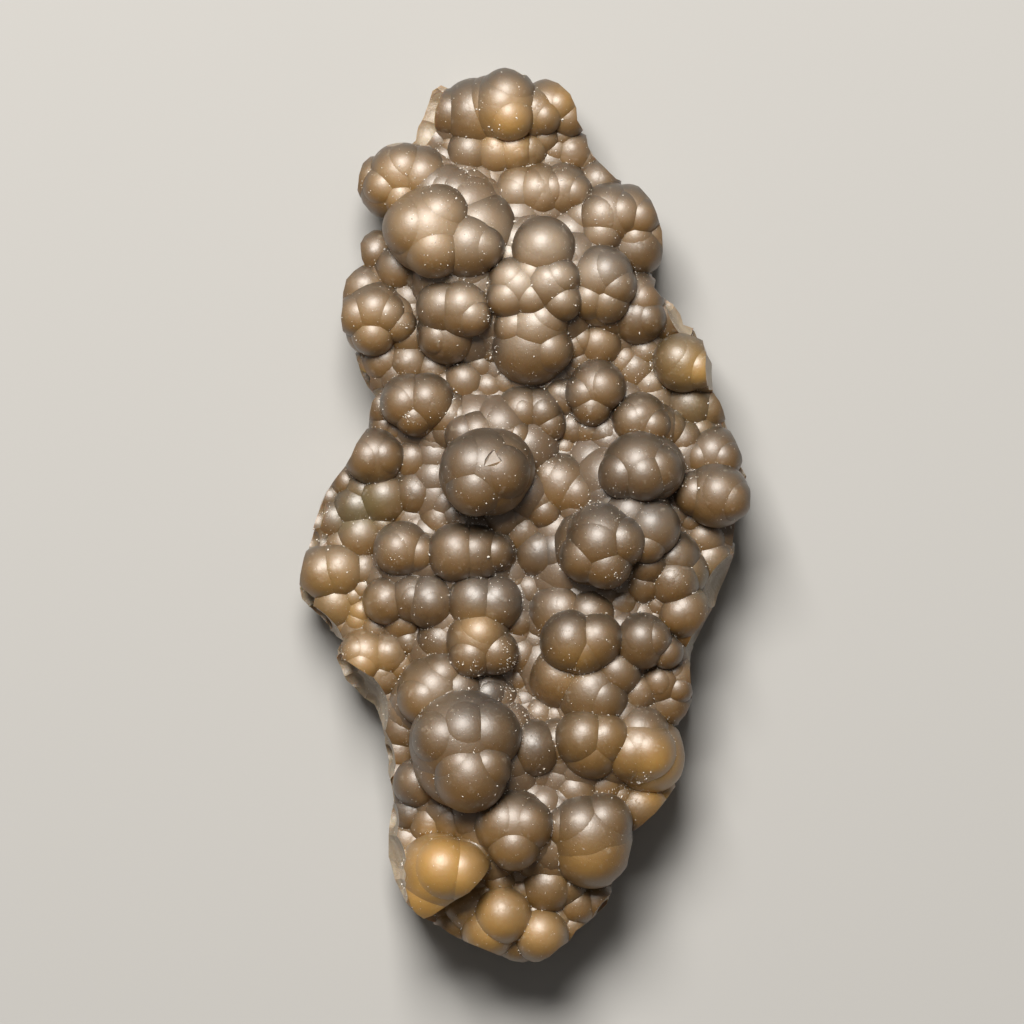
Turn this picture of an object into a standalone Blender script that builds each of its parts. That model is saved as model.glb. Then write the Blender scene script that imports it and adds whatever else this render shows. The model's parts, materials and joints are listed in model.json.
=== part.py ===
# Botryoidal chalcedony: a crust of agate-like silica that grew as touching and
# overlapping round nodules, broken out of its vein as one long piece.
# The piece is ONE solid: crust, nodules and the small domes between them grew
# together.  It lies on a flat cut back (z = 0) with the grown face looking up
# (+Z); its long side runs along Y, the narrow broken tip is at +Y and the
# honey-coloured broken nodule is near the -Y end on the -X side.
import math
import random

import bpy
import bmesh
from mathutils import Matrix, Vector

# ---------------------------------------------------------------- dimensions
UNIT = 0.000112          # metres in one layout unit (0.112 mm)
MID_X = 523.5            # layout position that lies over the world origin
MID_Y = 514.5
RIM_TOP = 50.0           # height of the crust at its broken rim, layout units
DOME_RISE = 52.0         # further height the crust gains away from the rim
DOME_REACH = 30.0        # distance from the rim in which it gains most of that
DOME_R = 46.0            # radius of the low domes that floor the hollows
DOME_PITCH = 36.0        # spacing of those domes
FOOT_X = 0.90            # how far the underside is drawn in, across the piece
FOOT_Y = 0.965           # and along it
FILL_REACH = 8.0         # how near a nodule must be to raise the hollow beside it
FILL_SHARE = 0.64        # how far up the neighbouring nodules a hollow is filled
FILL_PITCH = 24.0        # spacing of the small domes that fill the hollows
CAP_BELOW = 30.0         # nodules smaller than this are low caps:
CAP_GROW = 0.34          # they swell by up to this share and sink as much
CROWD_LIFT = 1.5         # how much higher facets stand where several share a nodule
ROOT_GAP = 0.45          # how far, in radii, a nodule may stand clear of the crust
ROOT_SHRINK = 0.94       # size of the older nodule under it
TARGET_TRIS = 9500       # faces kept in the finished surface
SEED = 41

# Rim of the crust, walked once round, layout units (x to the right, y down the
# long side).  Nodules overhang it in places.
RIM = [
    (455, 92), (480, 84), (515, 84), (545, 92), (562, 104), (570, 122), (580, 140),
    (588, 156), (600, 168), (616, 182), (632, 196), (642, 212), (648, 232), (650, 252),
    (652, 268), (651, 285), (658, 297), (672, 305), (681, 316), (684, 326), (694, 331),
    (700, 345), (704, 358), (708, 370), (709, 390), (717, 402), (722, 414), (727, 427),
    (731, 440), (733, 455), (741, 466), (747, 476), (742, 492), (738, 508), (735, 520),
    (733, 540), (731, 555), (727, 570), (722, 582), (717, 595), (712, 610), (704, 624),
    (696, 640), (689, 653), (685, 668), (685, 681), (684, 692), (682, 703), (677, 714),
    (673, 724), (672, 740), (672, 756), (668, 770), (662, 782), (654, 797), (644, 812),
    (634, 822), (627, 832), (624, 845), (620, 858), (614, 870), (608, 882), (608, 892),
    (604, 903), (596, 911), (586, 920), (574, 929), (566, 939), (556, 947), (547, 955),
    (538, 959), (525, 961), (512, 959), (502, 954), (490, 949), (475, 943), (460, 937),
    (450, 931), (440, 924), (428, 920), (415, 912), (407, 903), (401, 892), (395, 880),
    (391, 867), (388, 857), (388, 845), (389, 826), (391, 812), (395, 800), (393, 787),
    (390, 772), (389, 760), (387, 745), (385, 730), (380, 715), (374, 706), (364, 699),
    (355, 690), (347, 680), (343, 670), (338, 660), (337, 650), (341, 643), (337, 634),
    (325, 622), (313, 610), (302, 599), (300, 588), (304, 575), (307, 561), (309, 546),
    (313, 532), (318, 516), (322, 506), (328, 492), (336, 480), (346, 468), (354, 456),
    (361, 444), (367, 436), (370, 427), (371, 412), (373, 402), (376, 396), (368, 387),
    (362, 375), (358, 362), (356, 350), (350, 338), (348, 318), (350, 300), (356, 288),
    (366, 276), (371, 264), (373, 250), (377, 238), (383, 228), (383, 216), (376, 206),
    (372, 192), (372, 178), (378, 166), (392, 157), (407, 149), (416, 140), (419, 126),
    (425, 115), (429, 102), (433, 91), (441, 85),
]

# Outline that the overhanging nodules are broken off to, walked once round.
OUTLINE = [
    (500, 67), (514, 71), (522, 76), (540, 78), (558, 84), (570, 95), (576, 108), (577, 121),
    (586, 134), (588, 146), (593, 156), (604, 167), (616, 179), (638, 187), (650, 201),
    (656, 215), (661, 232), (662, 252), (660, 265), (656, 275), (653, 288), (660, 297),
    (672, 304), (680, 314), (683, 325), (694, 329), (701, 332), (703, 345), (706, 355),
    (711, 364), (711, 380), (712, 392), (719, 402), (723, 412), (728, 427), (735, 441),
    (741, 455), (743, 466), (748, 474), (748, 483), (749, 492), (749, 506), (746, 520),
    (738, 528), (735, 540), (733, 555), (728, 570), (723, 582), (718, 595), (713, 610),
    (705, 624), (697, 640), (691, 653), (689, 668), (690, 681), (692, 692), (690, 703),
    (685, 714), (678, 722), (678, 730), (681, 741), (684, 756), (682, 768), (678, 780),
    (667, 796), (655, 812), (642, 824), (632, 831), (632, 840), (629, 853), (626, 865),
    (620, 873), (611, 882), (611, 892), (606, 904), (598, 912), (587, 922), (575, 930),
    (569, 940), (558, 948), (549, 956), (540, 960), (525, 962), (512, 960), (502, 955),
    (491, 950), (475, 944), (460, 938), (450, 932), (440, 925), (428, 922), (414, 914),
    (406, 905), (400, 893), (394, 880), (390, 867), (387, 858), (387, 845), (388, 826),
    (391, 812), (395, 800), (393, 787), (389, 772), (389, 760), (386, 745), (384, 730),
    (379, 714), (374, 705), (364, 698), (354, 688), (346, 680), (342, 670), (337, 660),
    (336, 650), (338, 645), (344, 641), (335, 635), (322, 624), (310, 611), (300, 600),
    (299, 588), (300, 575), (303, 561), (307, 546), (312, 532), (317, 516), (321, 506),
    (327, 492), (335, 480), (346, 466), (352, 456), (357, 444), (362, 436), (369, 427),
    (370, 412), (372, 402), (376, 397), (368, 387), (362, 375), (358, 362), (355, 353),
    (349, 343), (343, 332), (341, 318), (343, 306), (344, 292), (347, 280), (355, 272),
    (366, 265), (363, 258), (362, 244), (366, 237), (376, 230), (378, 224), (372, 212),
    (364, 202), (359, 190), (360, 176), (364, 164), (373, 155), (385, 146), (398, 142),
    (415, 139), (418, 126), (424, 115), (428, 102), (430, 92), (438, 83), (449, 82), (458, 77),
    (470, 71), (485, 68),
]

# Nodules: (x, y, radius, height of the centre above the back), layout units.
NODULES = [
    (504, 107, 36, 102), (536, 113, 21, 104), (475, 113, 35, 90), (492, 108, 33, 97),
    (549, 108, 27, 92), (470, 152, 20, 96), (497, 152, 20, 99), (514, 150, 20, 100),
    (529, 150, 16, 98), (455, 148, 16, 88), (545, 138, 13, 97), (560, 136, 13, 91),
    (572, 153, 17, 88), (584, 160, 14, 84), (556, 150, 14, 90), (520, 192, 26, 98),
    (540, 192, 27, 100), (562, 191, 26, 98), (497, 190, 16, 94), (598, 183, 18, 90),
    (400, 174, 31, 92), (390, 190, 28, 88), (422, 176, 29, 95), (376, 180, 18, 86),
    (430, 231, 44, 124), (468, 244, 36, 126), (478, 230, 42, 110), (608, 216, 34, 97),
    (590, 218, 27, 95), (628, 214, 30, 96), (637, 247, 27, 94), (646, 238, 24, 90),
    (377, 253, 17, 86), (398, 268, 20, 94), (414, 277, 13, 92), (365, 290, 22, 86),
    (385, 275, 14, 90), (375, 312, 32, 92), (392, 318, 24, 95), (373, 330, 23, 90),
    (410, 335, 19, 90), (412, 312, 16, 88), (445, 308, 26, 122), (463, 309, 30, 124),
    (448, 333, 32, 104), (543, 251, 34, 126), (512, 258, 22, 118), (550, 285, 29, 134),
    (520, 288, 32, 126), (508, 286, 25, 122), (531, 345, 41, 110), (536, 328, 34, 121),
    (573, 345, 14, 110), (582, 340, 13, 111), (599, 344, 20, 104), (611, 345, 15, 98),
    (577, 360, 16, 102), (600, 277, 32, 120), (598, 298, 30, 112), (583, 267, 16, 122),
    (612, 312, 24, 104), (636, 300, 24, 104), (638, 318, 24, 106), (662, 320, 20, 92),
    (675, 320, 17, 86), (683, 363, 30, 108), (700, 370, 22, 96), (690, 405, 22, 90),
    (706, 408, 18, 86), (678, 402, 14, 90), (597, 388, 26, 114), (562, 397, 16, 108),
    (553, 388, 13, 103), (560, 411, 13, 101), (522, 412, 22, 110), (541, 412, 20, 111),
    (545, 426, 20, 103), (640, 420, 24, 114), (656, 428, 20, 110), (667, 429, 16, 107),
    (590, 428, 16, 104), (606, 433, 18, 104), (621, 441, 14, 105), (573, 429, 16, 102),
    (548, 446, 14, 104), (565, 449, 13, 102), (635, 370, 20, 92), (645, 352, 18, 92),
    (625, 362, 16, 95), (650, 385, 18, 92), (660, 400, 14, 92), (682, 440, 18, 98),
    (700, 432, 14, 92), (495, 348, 15, 102), (465, 382, 18, 98), (488, 388, 16, 97),
    (481, 365, 15, 96), (507, 382, 16, 97), (478, 402, 14, 101), (499, 402, 12, 100),
    (385, 360, 20, 82), (410, 363, 19, 89), (433, 369, 17, 90), (452, 358, 14, 92),
    (447, 385, 14, 94), (370, 365, 14, 76), (409, 402, 25, 110), (427, 402, 26, 112),
    (420, 415, 20, 106), (450, 418, 23, 104), (441, 434, 15, 98), (480, 437, 28, 113),
    (506, 438, 26, 113), (384, 408, 15, 90), (386, 425, 13, 88), (398, 430, 12, 92),
    (375, 457, 27, 98), (413, 460, 18, 95), (434, 460, 12, 96), (428, 472, 11, 95),
    (404, 440, 12, 92), (348, 483, 13, 80), (331, 499, 14, 72), (385, 498, 26, 88),
    (359, 508, 22, 82), (336, 521, 20, 74), (366, 492, 18, 84), (417, 493, 19, 97),
    (402, 513, 13, 90), (434, 503, 17, 96), (441, 520, 19, 98), (462, 518, 13, 95),
    (478, 524, 12, 95), (362, 536, 24, 82), (345, 546, 18, 78), (384, 525, 14, 88),
    (425, 535, 12, 96), (402, 549, 25, 116), (457, 553, 29, 125), (476, 553, 26, 125),
    (493, 553, 19, 119), (459, 571, 20, 108), (325, 573, 26, 82), (340, 570, 26, 84),
    (336, 604, 26, 73), (364, 570, 18, 84), (365, 588, 14, 86), (362, 612, 12, 88),
    (359, 621, 12, 86), (345, 625, 12, 78), (355, 597, 12, 86), (378, 628, 14, 90),
    (370, 640, 12, 86), (387, 601, 19, 110), (414, 598, 20, 115), (430, 601, 24, 117),
    (404, 621, 17, 98), (486, 471, 43, 147), (480, 474, 41, 144), (495, 468, 40, 144),
    (491, 478, 38, 146), (560, 485, 34, 104), (538, 500, 22, 112), (572, 492, 25, 112),
    (546, 512, 20, 105), (540, 553, 21, 112), (524, 533, 20, 107), (512, 508, 15, 109),
    (516, 560, 14, 104), (513, 580, 15, 104), (638, 467, 36, 134), (652, 468, 33, 128),
    (716, 495, 33, 110), (692, 461, 14, 94), (714, 455, 26, 95), (684, 500, 15, 99),
    (690, 518, 14, 97), (676, 478, 13, 104), (704, 538, 18, 92), (709, 560, 20, 88),
    (723, 560, 15, 82), (712, 585, 18, 76), (690, 550, 14, 96), (602, 540, 37, 140),
    (610, 538, 50, 104), (592, 547, 41, 117), (652, 528, 26, 136), (630, 515, 30, 124),
    (648, 564, 17, 126), (644, 582, 18, 116), (673, 581, 22, 118), (673, 558, 24, 112),
    (684, 572, 20, 108), (628, 588, 14, 112), (684, 612, 24, 110), (690, 626, 19, 100),
    (660, 602, 16, 108), (655, 618, 13, 108), (476, 602, 27, 122), (494, 604, 26, 122),
    (478, 641, 33, 119), (442, 641, 22, 106), (484, 656, 24, 108), (517, 622, 16, 108),
    (522, 655, 18, 104), (530, 590, 16, 104), (508, 612, 14, 110), (520, 678, 14, 100),
    (512, 640, 14, 105), (366, 655, 24, 92), (388, 655, 20, 94), (383, 676, 20, 88),
    (410, 642, 15, 96), (350, 668, 14, 80), (400, 665, 16, 92), (435, 692, 38, 108),
    (496, 699, 19, 106), (475, 675, 14, 102), (404, 730, 21, 90), (392, 705, 16, 82),
    (400, 752, 18, 88), (418, 783, 20, 106), (400, 776, 16, 90), (570, 641, 31, 134),
    (594, 640, 27, 134), (582, 646, 30, 131), (560, 612, 33, 106), (590, 616, 28, 116),
    (586, 592, 16, 112), (604, 596, 17, 115), (619, 603, 17, 113), (641, 641, 26, 126),
    (592, 692, 37, 110), (617, 672, 20, 124), (562, 675, 36, 104), (637, 692, 17, 111),
    (555, 703, 18, 100), (664, 655, 20, 101), (660, 682, 21, 105), (675, 678, 20, 100),
    (668, 702, 20, 98), (683, 692, 14, 91), (680, 655, 14, 92), (463, 742, 54, 129),
    (463, 758, 50, 124), (470, 775, 37, 152), (512, 776, 19, 114), (530, 775, 16, 110),
    (533, 748, 28, 120), (558, 742, 20, 118), (583, 738, 28, 130), (602, 739, 25, 130),
    (591, 747, 32, 121), (540, 716, 18, 102), (556, 718, 18, 102), (612, 715, 18, 104),
    (640, 750, 36, 112), (648, 755, 39, 98), (640, 734, 30, 110), (575, 792, 24, 106),
    (603, 785, 18, 104), (640, 806, 26, 90), (620, 795, 16, 98), (655, 792, 16, 86),
    (514, 826, 38, 124), (498, 800, 22, 118), (590, 835, 42, 112), (592, 846, 42, 109),
    (455, 820, 22, 102), (432, 823, 18, 98), (412, 812, 16, 92), (412, 795, 16, 92),
    (442, 800, 18, 100), (501, 880, 15, 100), (503, 915, 27, 108), (490, 928, 28, 95),
    (541, 935, 25, 98), (547, 885, 26, 97), (565, 885, 20, 94), (525, 890, 16, 96),
    (577, 903, 17, 89), (596, 900, 16, 85), (470, 907, 22, 92), (455, 922, 16, 84),
    (518, 940, 18, 88), (570, 925, 16, 80),
]

# Facets of those nodules: (x, y) of the facet's crest seen along a line that leans up
# the piece, its radius, and how far it stands proud of the nodule.
FACETS = [
    (505, 89, 36, 1.2), (508, 110, 38, 1.6), (543, 112, 24, 1.2), (450, 106, 30, 1),
    (556, 100, 24, 0.8), (566, 112, 22, 0.5), (516, 186, 28, 0.5), (534, 184, 26, 0.5),
    (551, 184, 26, 0.5), (572, 187, 22, 0.5), (402, 162, 32, 0.8), (383, 181, 28, 0.8),
    (420, 168, 28, 0.6), (400, 190, 26, 0.5), (413, 220, 42, 1), (437, 208, 40, 1),
    (466, 236, 34, 2), (478, 240, 32, 1.6), (432, 240, 38, 0.6), (583, 211, 26, 0.7),
    (601, 209, 27, 0.9), (620, 207, 27, 0.9), (638, 211, 24, 0.7), (600, 227, 22, 0.6),
    (634, 232, 22, 1), (357, 309, 24, 0.9), (373, 303, 27, 0.7), (385, 308, 24, 0.7),
    (397, 318, 22, 0.8), (372, 328, 24, 0.5), (441, 299, 27, 0.7), (460, 299, 28, 0.7),
    (470, 310, 28, 0.5), (437, 331, 28, 0.6), (541, 240, 34, 0.8), (556, 273, 28, 1.5),
    (531, 268, 29, 1), (511, 274, 27, 0.9), (530, 291, 28, 0.6), (560, 296, 24, 0.6),
    (507, 291, 25, 0.6), (541, 313, 36, 1), (548, 343, 34, 0.8), (515, 320, 30, 0.5),
    (604, 267, 29, 1), (588, 292, 25, 0.9), (606, 295, 25, 0.9), (613, 280, 26, 0.6),
    (629, 309, 24, 0.7), (645, 313, 23, 0.7), (640, 294, 23, 0.6), (677, 353, 32, 0.6),
    (696, 362, 28, 0.5), (600, 381, 27, 0.8), (583, 388, 21, 1), (590, 401, 22, 0.5),
    (521, 406, 22, 0.6), (541, 407, 20, 0.6), (548, 420, 18, 0.6), (633, 414, 25, 0.8),
    (651, 420, 21, 0.8), (403, 396, 25, 0.6), (425, 393, 26, 0.6), (413, 411, 22, 0.4),
    (458, 413, 22, 0.5), (476, 427, 28, 0.5), (514, 432, 24, 0.5), (368, 451, 25, 0.6),
    (382, 450, 25, 0.7), (397, 543, 26, 0.7), (418, 547, 20, 0.9), (454, 543, 30, 0.6),
    (473, 545, 26, 0.6), (493, 547, 19, 0.6), (412, 592, 20, 0.5), (429, 596, 22, 0.5),
    (472, 458, 44, 1), (497, 463, 42, 1), (474, 478, 42, 0.5), (535, 489, 23, 0.6),
    (575, 487, 26, 0.8), (550, 471, 28, 0.5), (543, 506, 22, 0.4), (621, 467, 30, 0.9),
    (641, 466, 30, 1.2), (655, 462, 30, 0.5), (694, 487, 28, 0.6), (717, 486, 30, 0.7),
    (727, 492, 28, 0.8), (700, 452, 20, 0.6), (721, 452, 24, 0.6), (597, 534, 34, 1),
    (619, 534, 32, 1), (583, 549, 30, 0.8), (604, 556, 34, 0.5), (645, 538, 22, 0.4),
    (678, 607, 23, 0.6), (472, 592, 28, 0.5), (495, 593, 26, 0.5), (478, 628, 32, 0.8),
    (470, 648, 30, 0.6), (494, 645, 26, 0.6), (357, 647, 20, 0.7), (361, 658, 22, 0.7),
    (387, 648, 20, 0.6), (423, 690, 30, 1), (456, 683, 28, 1), (441, 670, 30, 0.5),
    (568, 630, 31, 0.4), (595, 631, 27, 0.4), (560, 603, 30, 0.5), (640, 632, 26, 0.5),
    (650, 633, 24, 0.3), (600, 690, 32, 0.5), (665, 647, 17, 0.4), (672, 668, 17, 0.5),
    (657, 676, 19, 0.5), (676, 684, 16, 0.5), (442, 729, 32, 1.4), (462, 723, 36, 1),
    (483, 724, 36, 1), (461, 758, 34, 0.8), (484, 759, 34, 0.8), (582, 729, 28, 0.5),
    (603, 730, 25, 0.5), (645, 743, 34, 0.6), (630, 744, 34, 0.4), (503, 815, 36, 0.8),
    (524, 816, 36, 0.8), (512, 836, 34, 0.4), (601, 813, 38, 1), (580, 818, 34, 1),
    (564, 820, 24, 1),
]

# Scoops broken out of the rim: (x, y, radius, height), layout units.
SCOOPS = [
    (296, 500, 52, 92), (281, 628, 44, 84), (330, 715, 44, 96), (352, 800, 46, 92),
    (357, 872, 48, 96), (330, 380, 40, 84), (405, 108, 26, 92), (752, 596, 42, 92),
    (615, 938, 44, 92), (742, 366, 36, 100), (470, 985, 40, 84), (668, 268, 16, 78),
]

# Shallow dishes where the rim is chipped: (x, y, radius, level of the bottom).
CHIPS = [
    (431, 108, 26, 58), (426, 131, 20, 60), (441, 90, 14, 68), (366, 372, 18, 52),
    (371, 388, 14, 52), (317, 515, 18, 56), (322, 538, 15, 58), (309, 541, 12, 50),
    (305, 597, 17, 58), (322, 616, 16, 48), (344, 668, 15, 54), (352, 683, 12, 52),
    (368, 705, 13, 52), (384, 733, 9, 54), (388, 754, 10, 56), (400, 790, 16, 64),
    (393, 815, 14, 60),
    (578, 932, 16, 50), (601, 906, 14, 52), (590, 918, 12, 50),
    (581, 128, 12, 66),
    (591, 150, 12, 62), (606, 174, 9, 64), (655, 288, 12, 64), (668, 302, 9, 70),
    (724, 425, 11, 64), (731, 537, 9, 54), (728, 557, 9, 52), (744, 470, 8, 60),
    (345, 645, 9, 56), (415, 918, 12, 50), (450, 934, 10, 46), (540, 962, 14, 44),
]

# Long conchoidal breaks along the rim: (x, y, radius, height).
BREAKS = [
    (348, 866, 58, 100), (345, 822, 54, 104), (362, 896, 46, 96), (384, 96, 52, 104),
    (755, 600, 52, 96), (738, 645, 52, 92), (334, 712, 54, 94), (343, 762, 54, 92),
    (292, 655, 54, 88), (708, 300, 44, 100), (640, 935, 52, 92),
]

# Broken-off lobe that stands on the crust with a sharp edge all round.
LOBE = [(438, 872, 40, 118), (430, 889, 38, 108), (443, 869, 33, 132), (461, 871, 31, 130)]
LOBE_EDGE = [
    (405, 843), (409, 838), (415, 833), (422, 829), (431, 828), (440, 829), (450, 829),
    (460, 832), (469, 836), (476, 843), (481, 849), (486, 855), (490, 861), (489, 867),
    (484, 875), (478, 882), (470, 890), (460, 896), (450, 902), (441, 908), (432, 914),
    (424, 917), (417, 912), (412, 905), (409, 896), (406, 886), (408, 876), (404, 866),
    (407, 855),
]


# ------------------------------------------------------------------- helpers
def collection(name):
    made = bpy.data.collections.new(name)
    bpy.context.scene.collection.children.link(made)
    return made


def world(x, y, z):
    """Layout units to world metres."""
    return Vector(((x - MID_X) * UNIT, (MID_Y - y) * UNIT, z * UNIT))


def from_bmesh(bm, name, home):
    mesh = bpy.data.meshes.new(name)
    bm.to_mesh(mesh)
    bm.free()
    made = bpy.data.objects.new(name, mesh)
    home.objects.link(made)
    return made


def ball(name, x, y, r, z, home, fine):
    """A round body of the given fineness, turned at random."""
    bm = bmesh.new()
    bmesh.ops.create_icosphere(bm, subdivisions=fine, radius=r * UNIT)
    turn = Matrix.Rotation(rng.uniform(0.0, 2.0 * math.pi), 4, Vector(
        (rng.uniform(-1.0, 1.0), rng.uniform(-1.0, 1.0), rng.uniform(0.1, 1.0))).normalized())
    bmesh.ops.transform(bm, matrix=Matrix.Translation(world(x, y, z)) @ turn, verts=bm.verts)
    return from_bmesh(bm, name, home)


def prism(name, outline, z0, z1, home):
    """Upright prism on a closed outline, made by extruding a flat closed curve."""
    curve = bpy.data.curves.new(name + "_outline", "CURVE")
    curve.dimensions = "2D"
    curve.fill_mode = "BOTH"
    curve.extrude = 0.5 * (z1 - z0) * UNIT
    line = curve.splines.new("POLY")
    line.points.add(len(outline) - 1)
    for point, (x, y) in zip(line.points, outline):
        at = world(x, y, 0.0)
        point.co = (at.x, at.y, 0.0, 1.0)
    line.use_cyclic_u = True
    drawn = bpy.data.objects.new(name + "_outline", curve)
    drawn.location.z = 0.5 * (z0 + z1) * UNIT
    home.objects.link(drawn)
    bpy.context.view_layer.update()
    graph = bpy.context.evaluated_depsgraph_get()
    mesh = bpy.data.meshes.new_from_object(drawn.evaluated_get(graph))
    mesh.transform(drawn.matrix_world)
    bpy.data.objects.remove(drawn)
    bm = bmesh.new()
    bm.from_mesh(mesh)
    bpy.data.meshes.remove(mesh)
    bmesh.ops.remove_doubles(bm, verts=bm.verts, dist=1e-7)
    bmesh.ops.recalc_face_normals(bm, faces=bm.faces)
    return from_bmesh(bm, name, home)


def combine(body, other, how):
    """Boolean of a body with an object or with a whole collection, baked.

    The exact solver leaves open edges where hundreds of shallow domes and nodules
    meet at grazing angles, so these steps use the manifold solver.
    """
    step = body.modifiers.new("combine", "BOOLEAN")
    step.operation = how
    step.solver = "MANIFOLD"
    if isinstance(other, bpy.types.Collection):
        step.operand_type = "COLLECTION"
        step.collection = other
    else:
        step.object = other
    bake(body)


def bake(body):
    bpy.context.view_layer.update()
    graph = bpy.context.evaluated_depsgraph_get()
    mesh = bpy.data.meshes.new_from_object(body.evaluated_get(graph))
    bm = bmesh.new()
    bm.from_mesh(mesh)
    bmesh.ops.triangulate(bm, faces=bm.faces)
    bm.to_mesh(mesh)
    bm.free()
    old = body.data
    body.modifiers.clear()
    body.data = mesh
    bpy.data.meshes.remove(old)


def keep_main_body(body):
    """Bits that no longer touch the piece are left off."""
    bm = bmesh.new()
    bm.from_mesh(body.data)
    bm.verts.ensure_lookup_table()
    group = [-1] * len(bm.verts)
    sizes = []
    for start in bm.verts:
        if group[start.index] >= 0:
            continue
        group[start.index] = len(sizes)
        stack, count = [start], 0
        while stack:
            vert = stack.pop()
            count += 1
            for edge in vert.link_edges:
                near = edge.other_vert(vert)
                if group[near.index] < 0:
                    group[near.index] = len(sizes)
                    stack.append(near)
        sizes.append(count)
    main = sizes.index(max(sizes))
    loose = [vert for vert in bm.verts if group[vert.index] != main]
    bmesh.ops.delete(bm, geom=loose, context="VERTS")
    bm.to_mesh(body.data)
    bm.free()


def discard(home):
    for made in list(home.objects):
        bpy.data.objects.remove(made)
    bpy.data.collections.remove(home)


def rim_distance(x, y):
    """Distance from a point to the rim, positive inside it, layout units."""
    best, inside = 1e9, False
    for i, (ax, ay) in enumerate(RIM):
        bx, by = RIM[i - 1]
        ux, uy = bx - ax, by - ay
        t = max(0.0, min(1.0, ((x - ax) * ux + (y - ay) * uy) / (ux * ux + uy * uy)))
        best = min(best, math.hypot(x - ax - t * ux, y - ay - t * uy))
        if (ay > y) != (by > y) and x < ux * (y - ay) / uy + ax:
            inside = not inside
    return best if inside else -best


def crust_top(x, y):
    return RIM_TOP + DOME_RISE * (1.0 - math.exp(-max(rim_distance(x, y), 0.0) / DOME_REACH))


def capped(x, y, r, z):
    """Small nodules are low caps: larger, deeper set, with the same crest."""
    swell = CAP_GROW * min(max((CAP_BELOW - r) / 13.0, 0.0), 1.0) * r
    return x - 0.07 * swell, y - 0.1 * swell, r + swell, z - swell


def surface_at(x, y, balls):
    """Height of the highest nodule over a point, and which nodule that is."""
    top, which = -1.0, 0
    for k, (bx, by, r, z) in enumerate(balls):
        q = r * r - (bx - x) ** 2 - (by - y) ** 2
        if q > 0.0 and z + math.sqrt(q) > top:
            top, which = z + math.sqrt(q), k
    return max(top, crust_top(x, y)), which


def place_facet(hx, hy, r, proud, balls, company):
    """Shallow lobe on the nodule under (hx, hy), kept within its outline."""
    top, k = surface_at(hx, hy, balls)
    x, y, big, _ = balls[k]
    proud += CROWD_LIFT * (big / 40.0) * min(company[k] - 1, 2) / 2.0
    away = math.hypot(hx - x + 0.07 * big, hy - y + 0.28 * big)
    fit = max(0.70 * big, big - 0.8 * away)
    if fit < r:
        proud *= 0.85
        r = fit
    return hx + 0.07 * r, hy + 0.28 * r, r, top + proud - 0.957 * r


def fill_level(x, y, balls):
    """Level that the hollow between the neighbouring nodules is grown up to."""
    total, weight = 0.0, 0.0
    for bx, by, r, z in balls:
        d = math.hypot(bx - x, by - y) - r
        if d < 3.0 * FILL_REACH:
            w = math.exp(-max(d, 0.0) / FILL_REACH)
            total += w * (z + FILL_SHARE * r)
            weight += w
    return total / weight if weight > 1e-6 else 0.0


# --------------------------------------------------------------------- build
for old_object in list(bpy.data.objects):
    bpy.data.objects.remove(old_object)

rng = random.Random(SEED)
stone = collection("chalcedony")
work = collection("growth")
cutters = collection("scoops")
balls = [capped(*row) for row in NODULES]

# The crust: low domes grown over a slab as thick as the broken rim, trimmed to
# the rim outline by a body whose walls lean in towards the underside.
bm = bmesh.new()
bmesh.ops.create_cube(bm, size=1.0)
low, high = world(270.0, 990.0, -12.0), world(780.0, 40.0, RIM_TOP)
bmesh.ops.transform(
    bm, verts=bm.verts,
    matrix=Matrix.Translation(0.5 * (low + high)) @ Matrix.Diagonal((*(high - low), 1.0)))
crust = from_bmesh(bm, "crust", work)

domes = collection("domes")
row = 0
y = 62.0
while y < 975.0:
    x = 290.0 + (0.5 * DOME_PITCH if row % 2 else 0.0)
    while x < 760.0:
        px = x + rng.uniform(-7.0, 7.0)
        py = y + rng.uniform(-7.0, 7.0)
        if rim_distance(px, py) > 7.0:
            top = crust_top(px, py) + rng.uniform(-3.0, 3.0)
            ball("dome", px, py, DOME_R, top - DOME_R, domes, 2)
        x += DOME_PITCH
    y += 0.87 * DOME_PITCH
    row += 1

# Smaller domes that fill the hollows between the nodules.
row = 0
y = 66.0
while y < 965.0:
    x = 296.0 + (0.5 * FILL_PITCH if row % 2 else 0.0)
    while x < 752.0:
        px = x + rng.uniform(-6.0, 6.0)
        py = y + rng.uniform(-6.0, 6.0)
        r = rng.uniform(24.0, 34.0)
        d = rim_distance(px, py)
        if d > 5.0:
            top = min(fill_level(px, py, balls) - rng.uniform(0.0, 6.0),
                      RIM_TOP + 14.0 + 1.7 * d)
            if top > crust_top(px, py) and surface_at(px, py, balls)[0] < top + 16.0:
                ball("filler", px, py, r, top - r, domes, 2)
        x += FILL_PITCH
    y += 0.87 * FILL_PITCH
    row += 1
combine(crust, domes, "UNION")
discard(domes)

trim = prism("trim", RIM, 0.0, 150.0, work)
for vert in trim.data.vertices:
    if vert.co.z < 1e-6:
        vert.co.x *= FOOT_X
        vert.co.y *= FOOT_Y
    else:
        vert.co.x *= 1.0 + (1.0 - FOOT_X) * (150.0 / RIM_TOP - 1.0)
        vert.co.y *= 1.0 + (1.0 - FOOT_Y) * (150.0 / RIM_TOP - 1.0)
combine(crust, trim, "INTERSECT")

# Scoops struck out of the rim.
for x, y, r, z in SCOOPS:
    scoop = ball("scoop", x, y, r, z, cutters, 3)
    scoop.hide_render = True
    scoop.display_type = "WIRE"
combine(crust, cutters, "DIFFERENCE")

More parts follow.
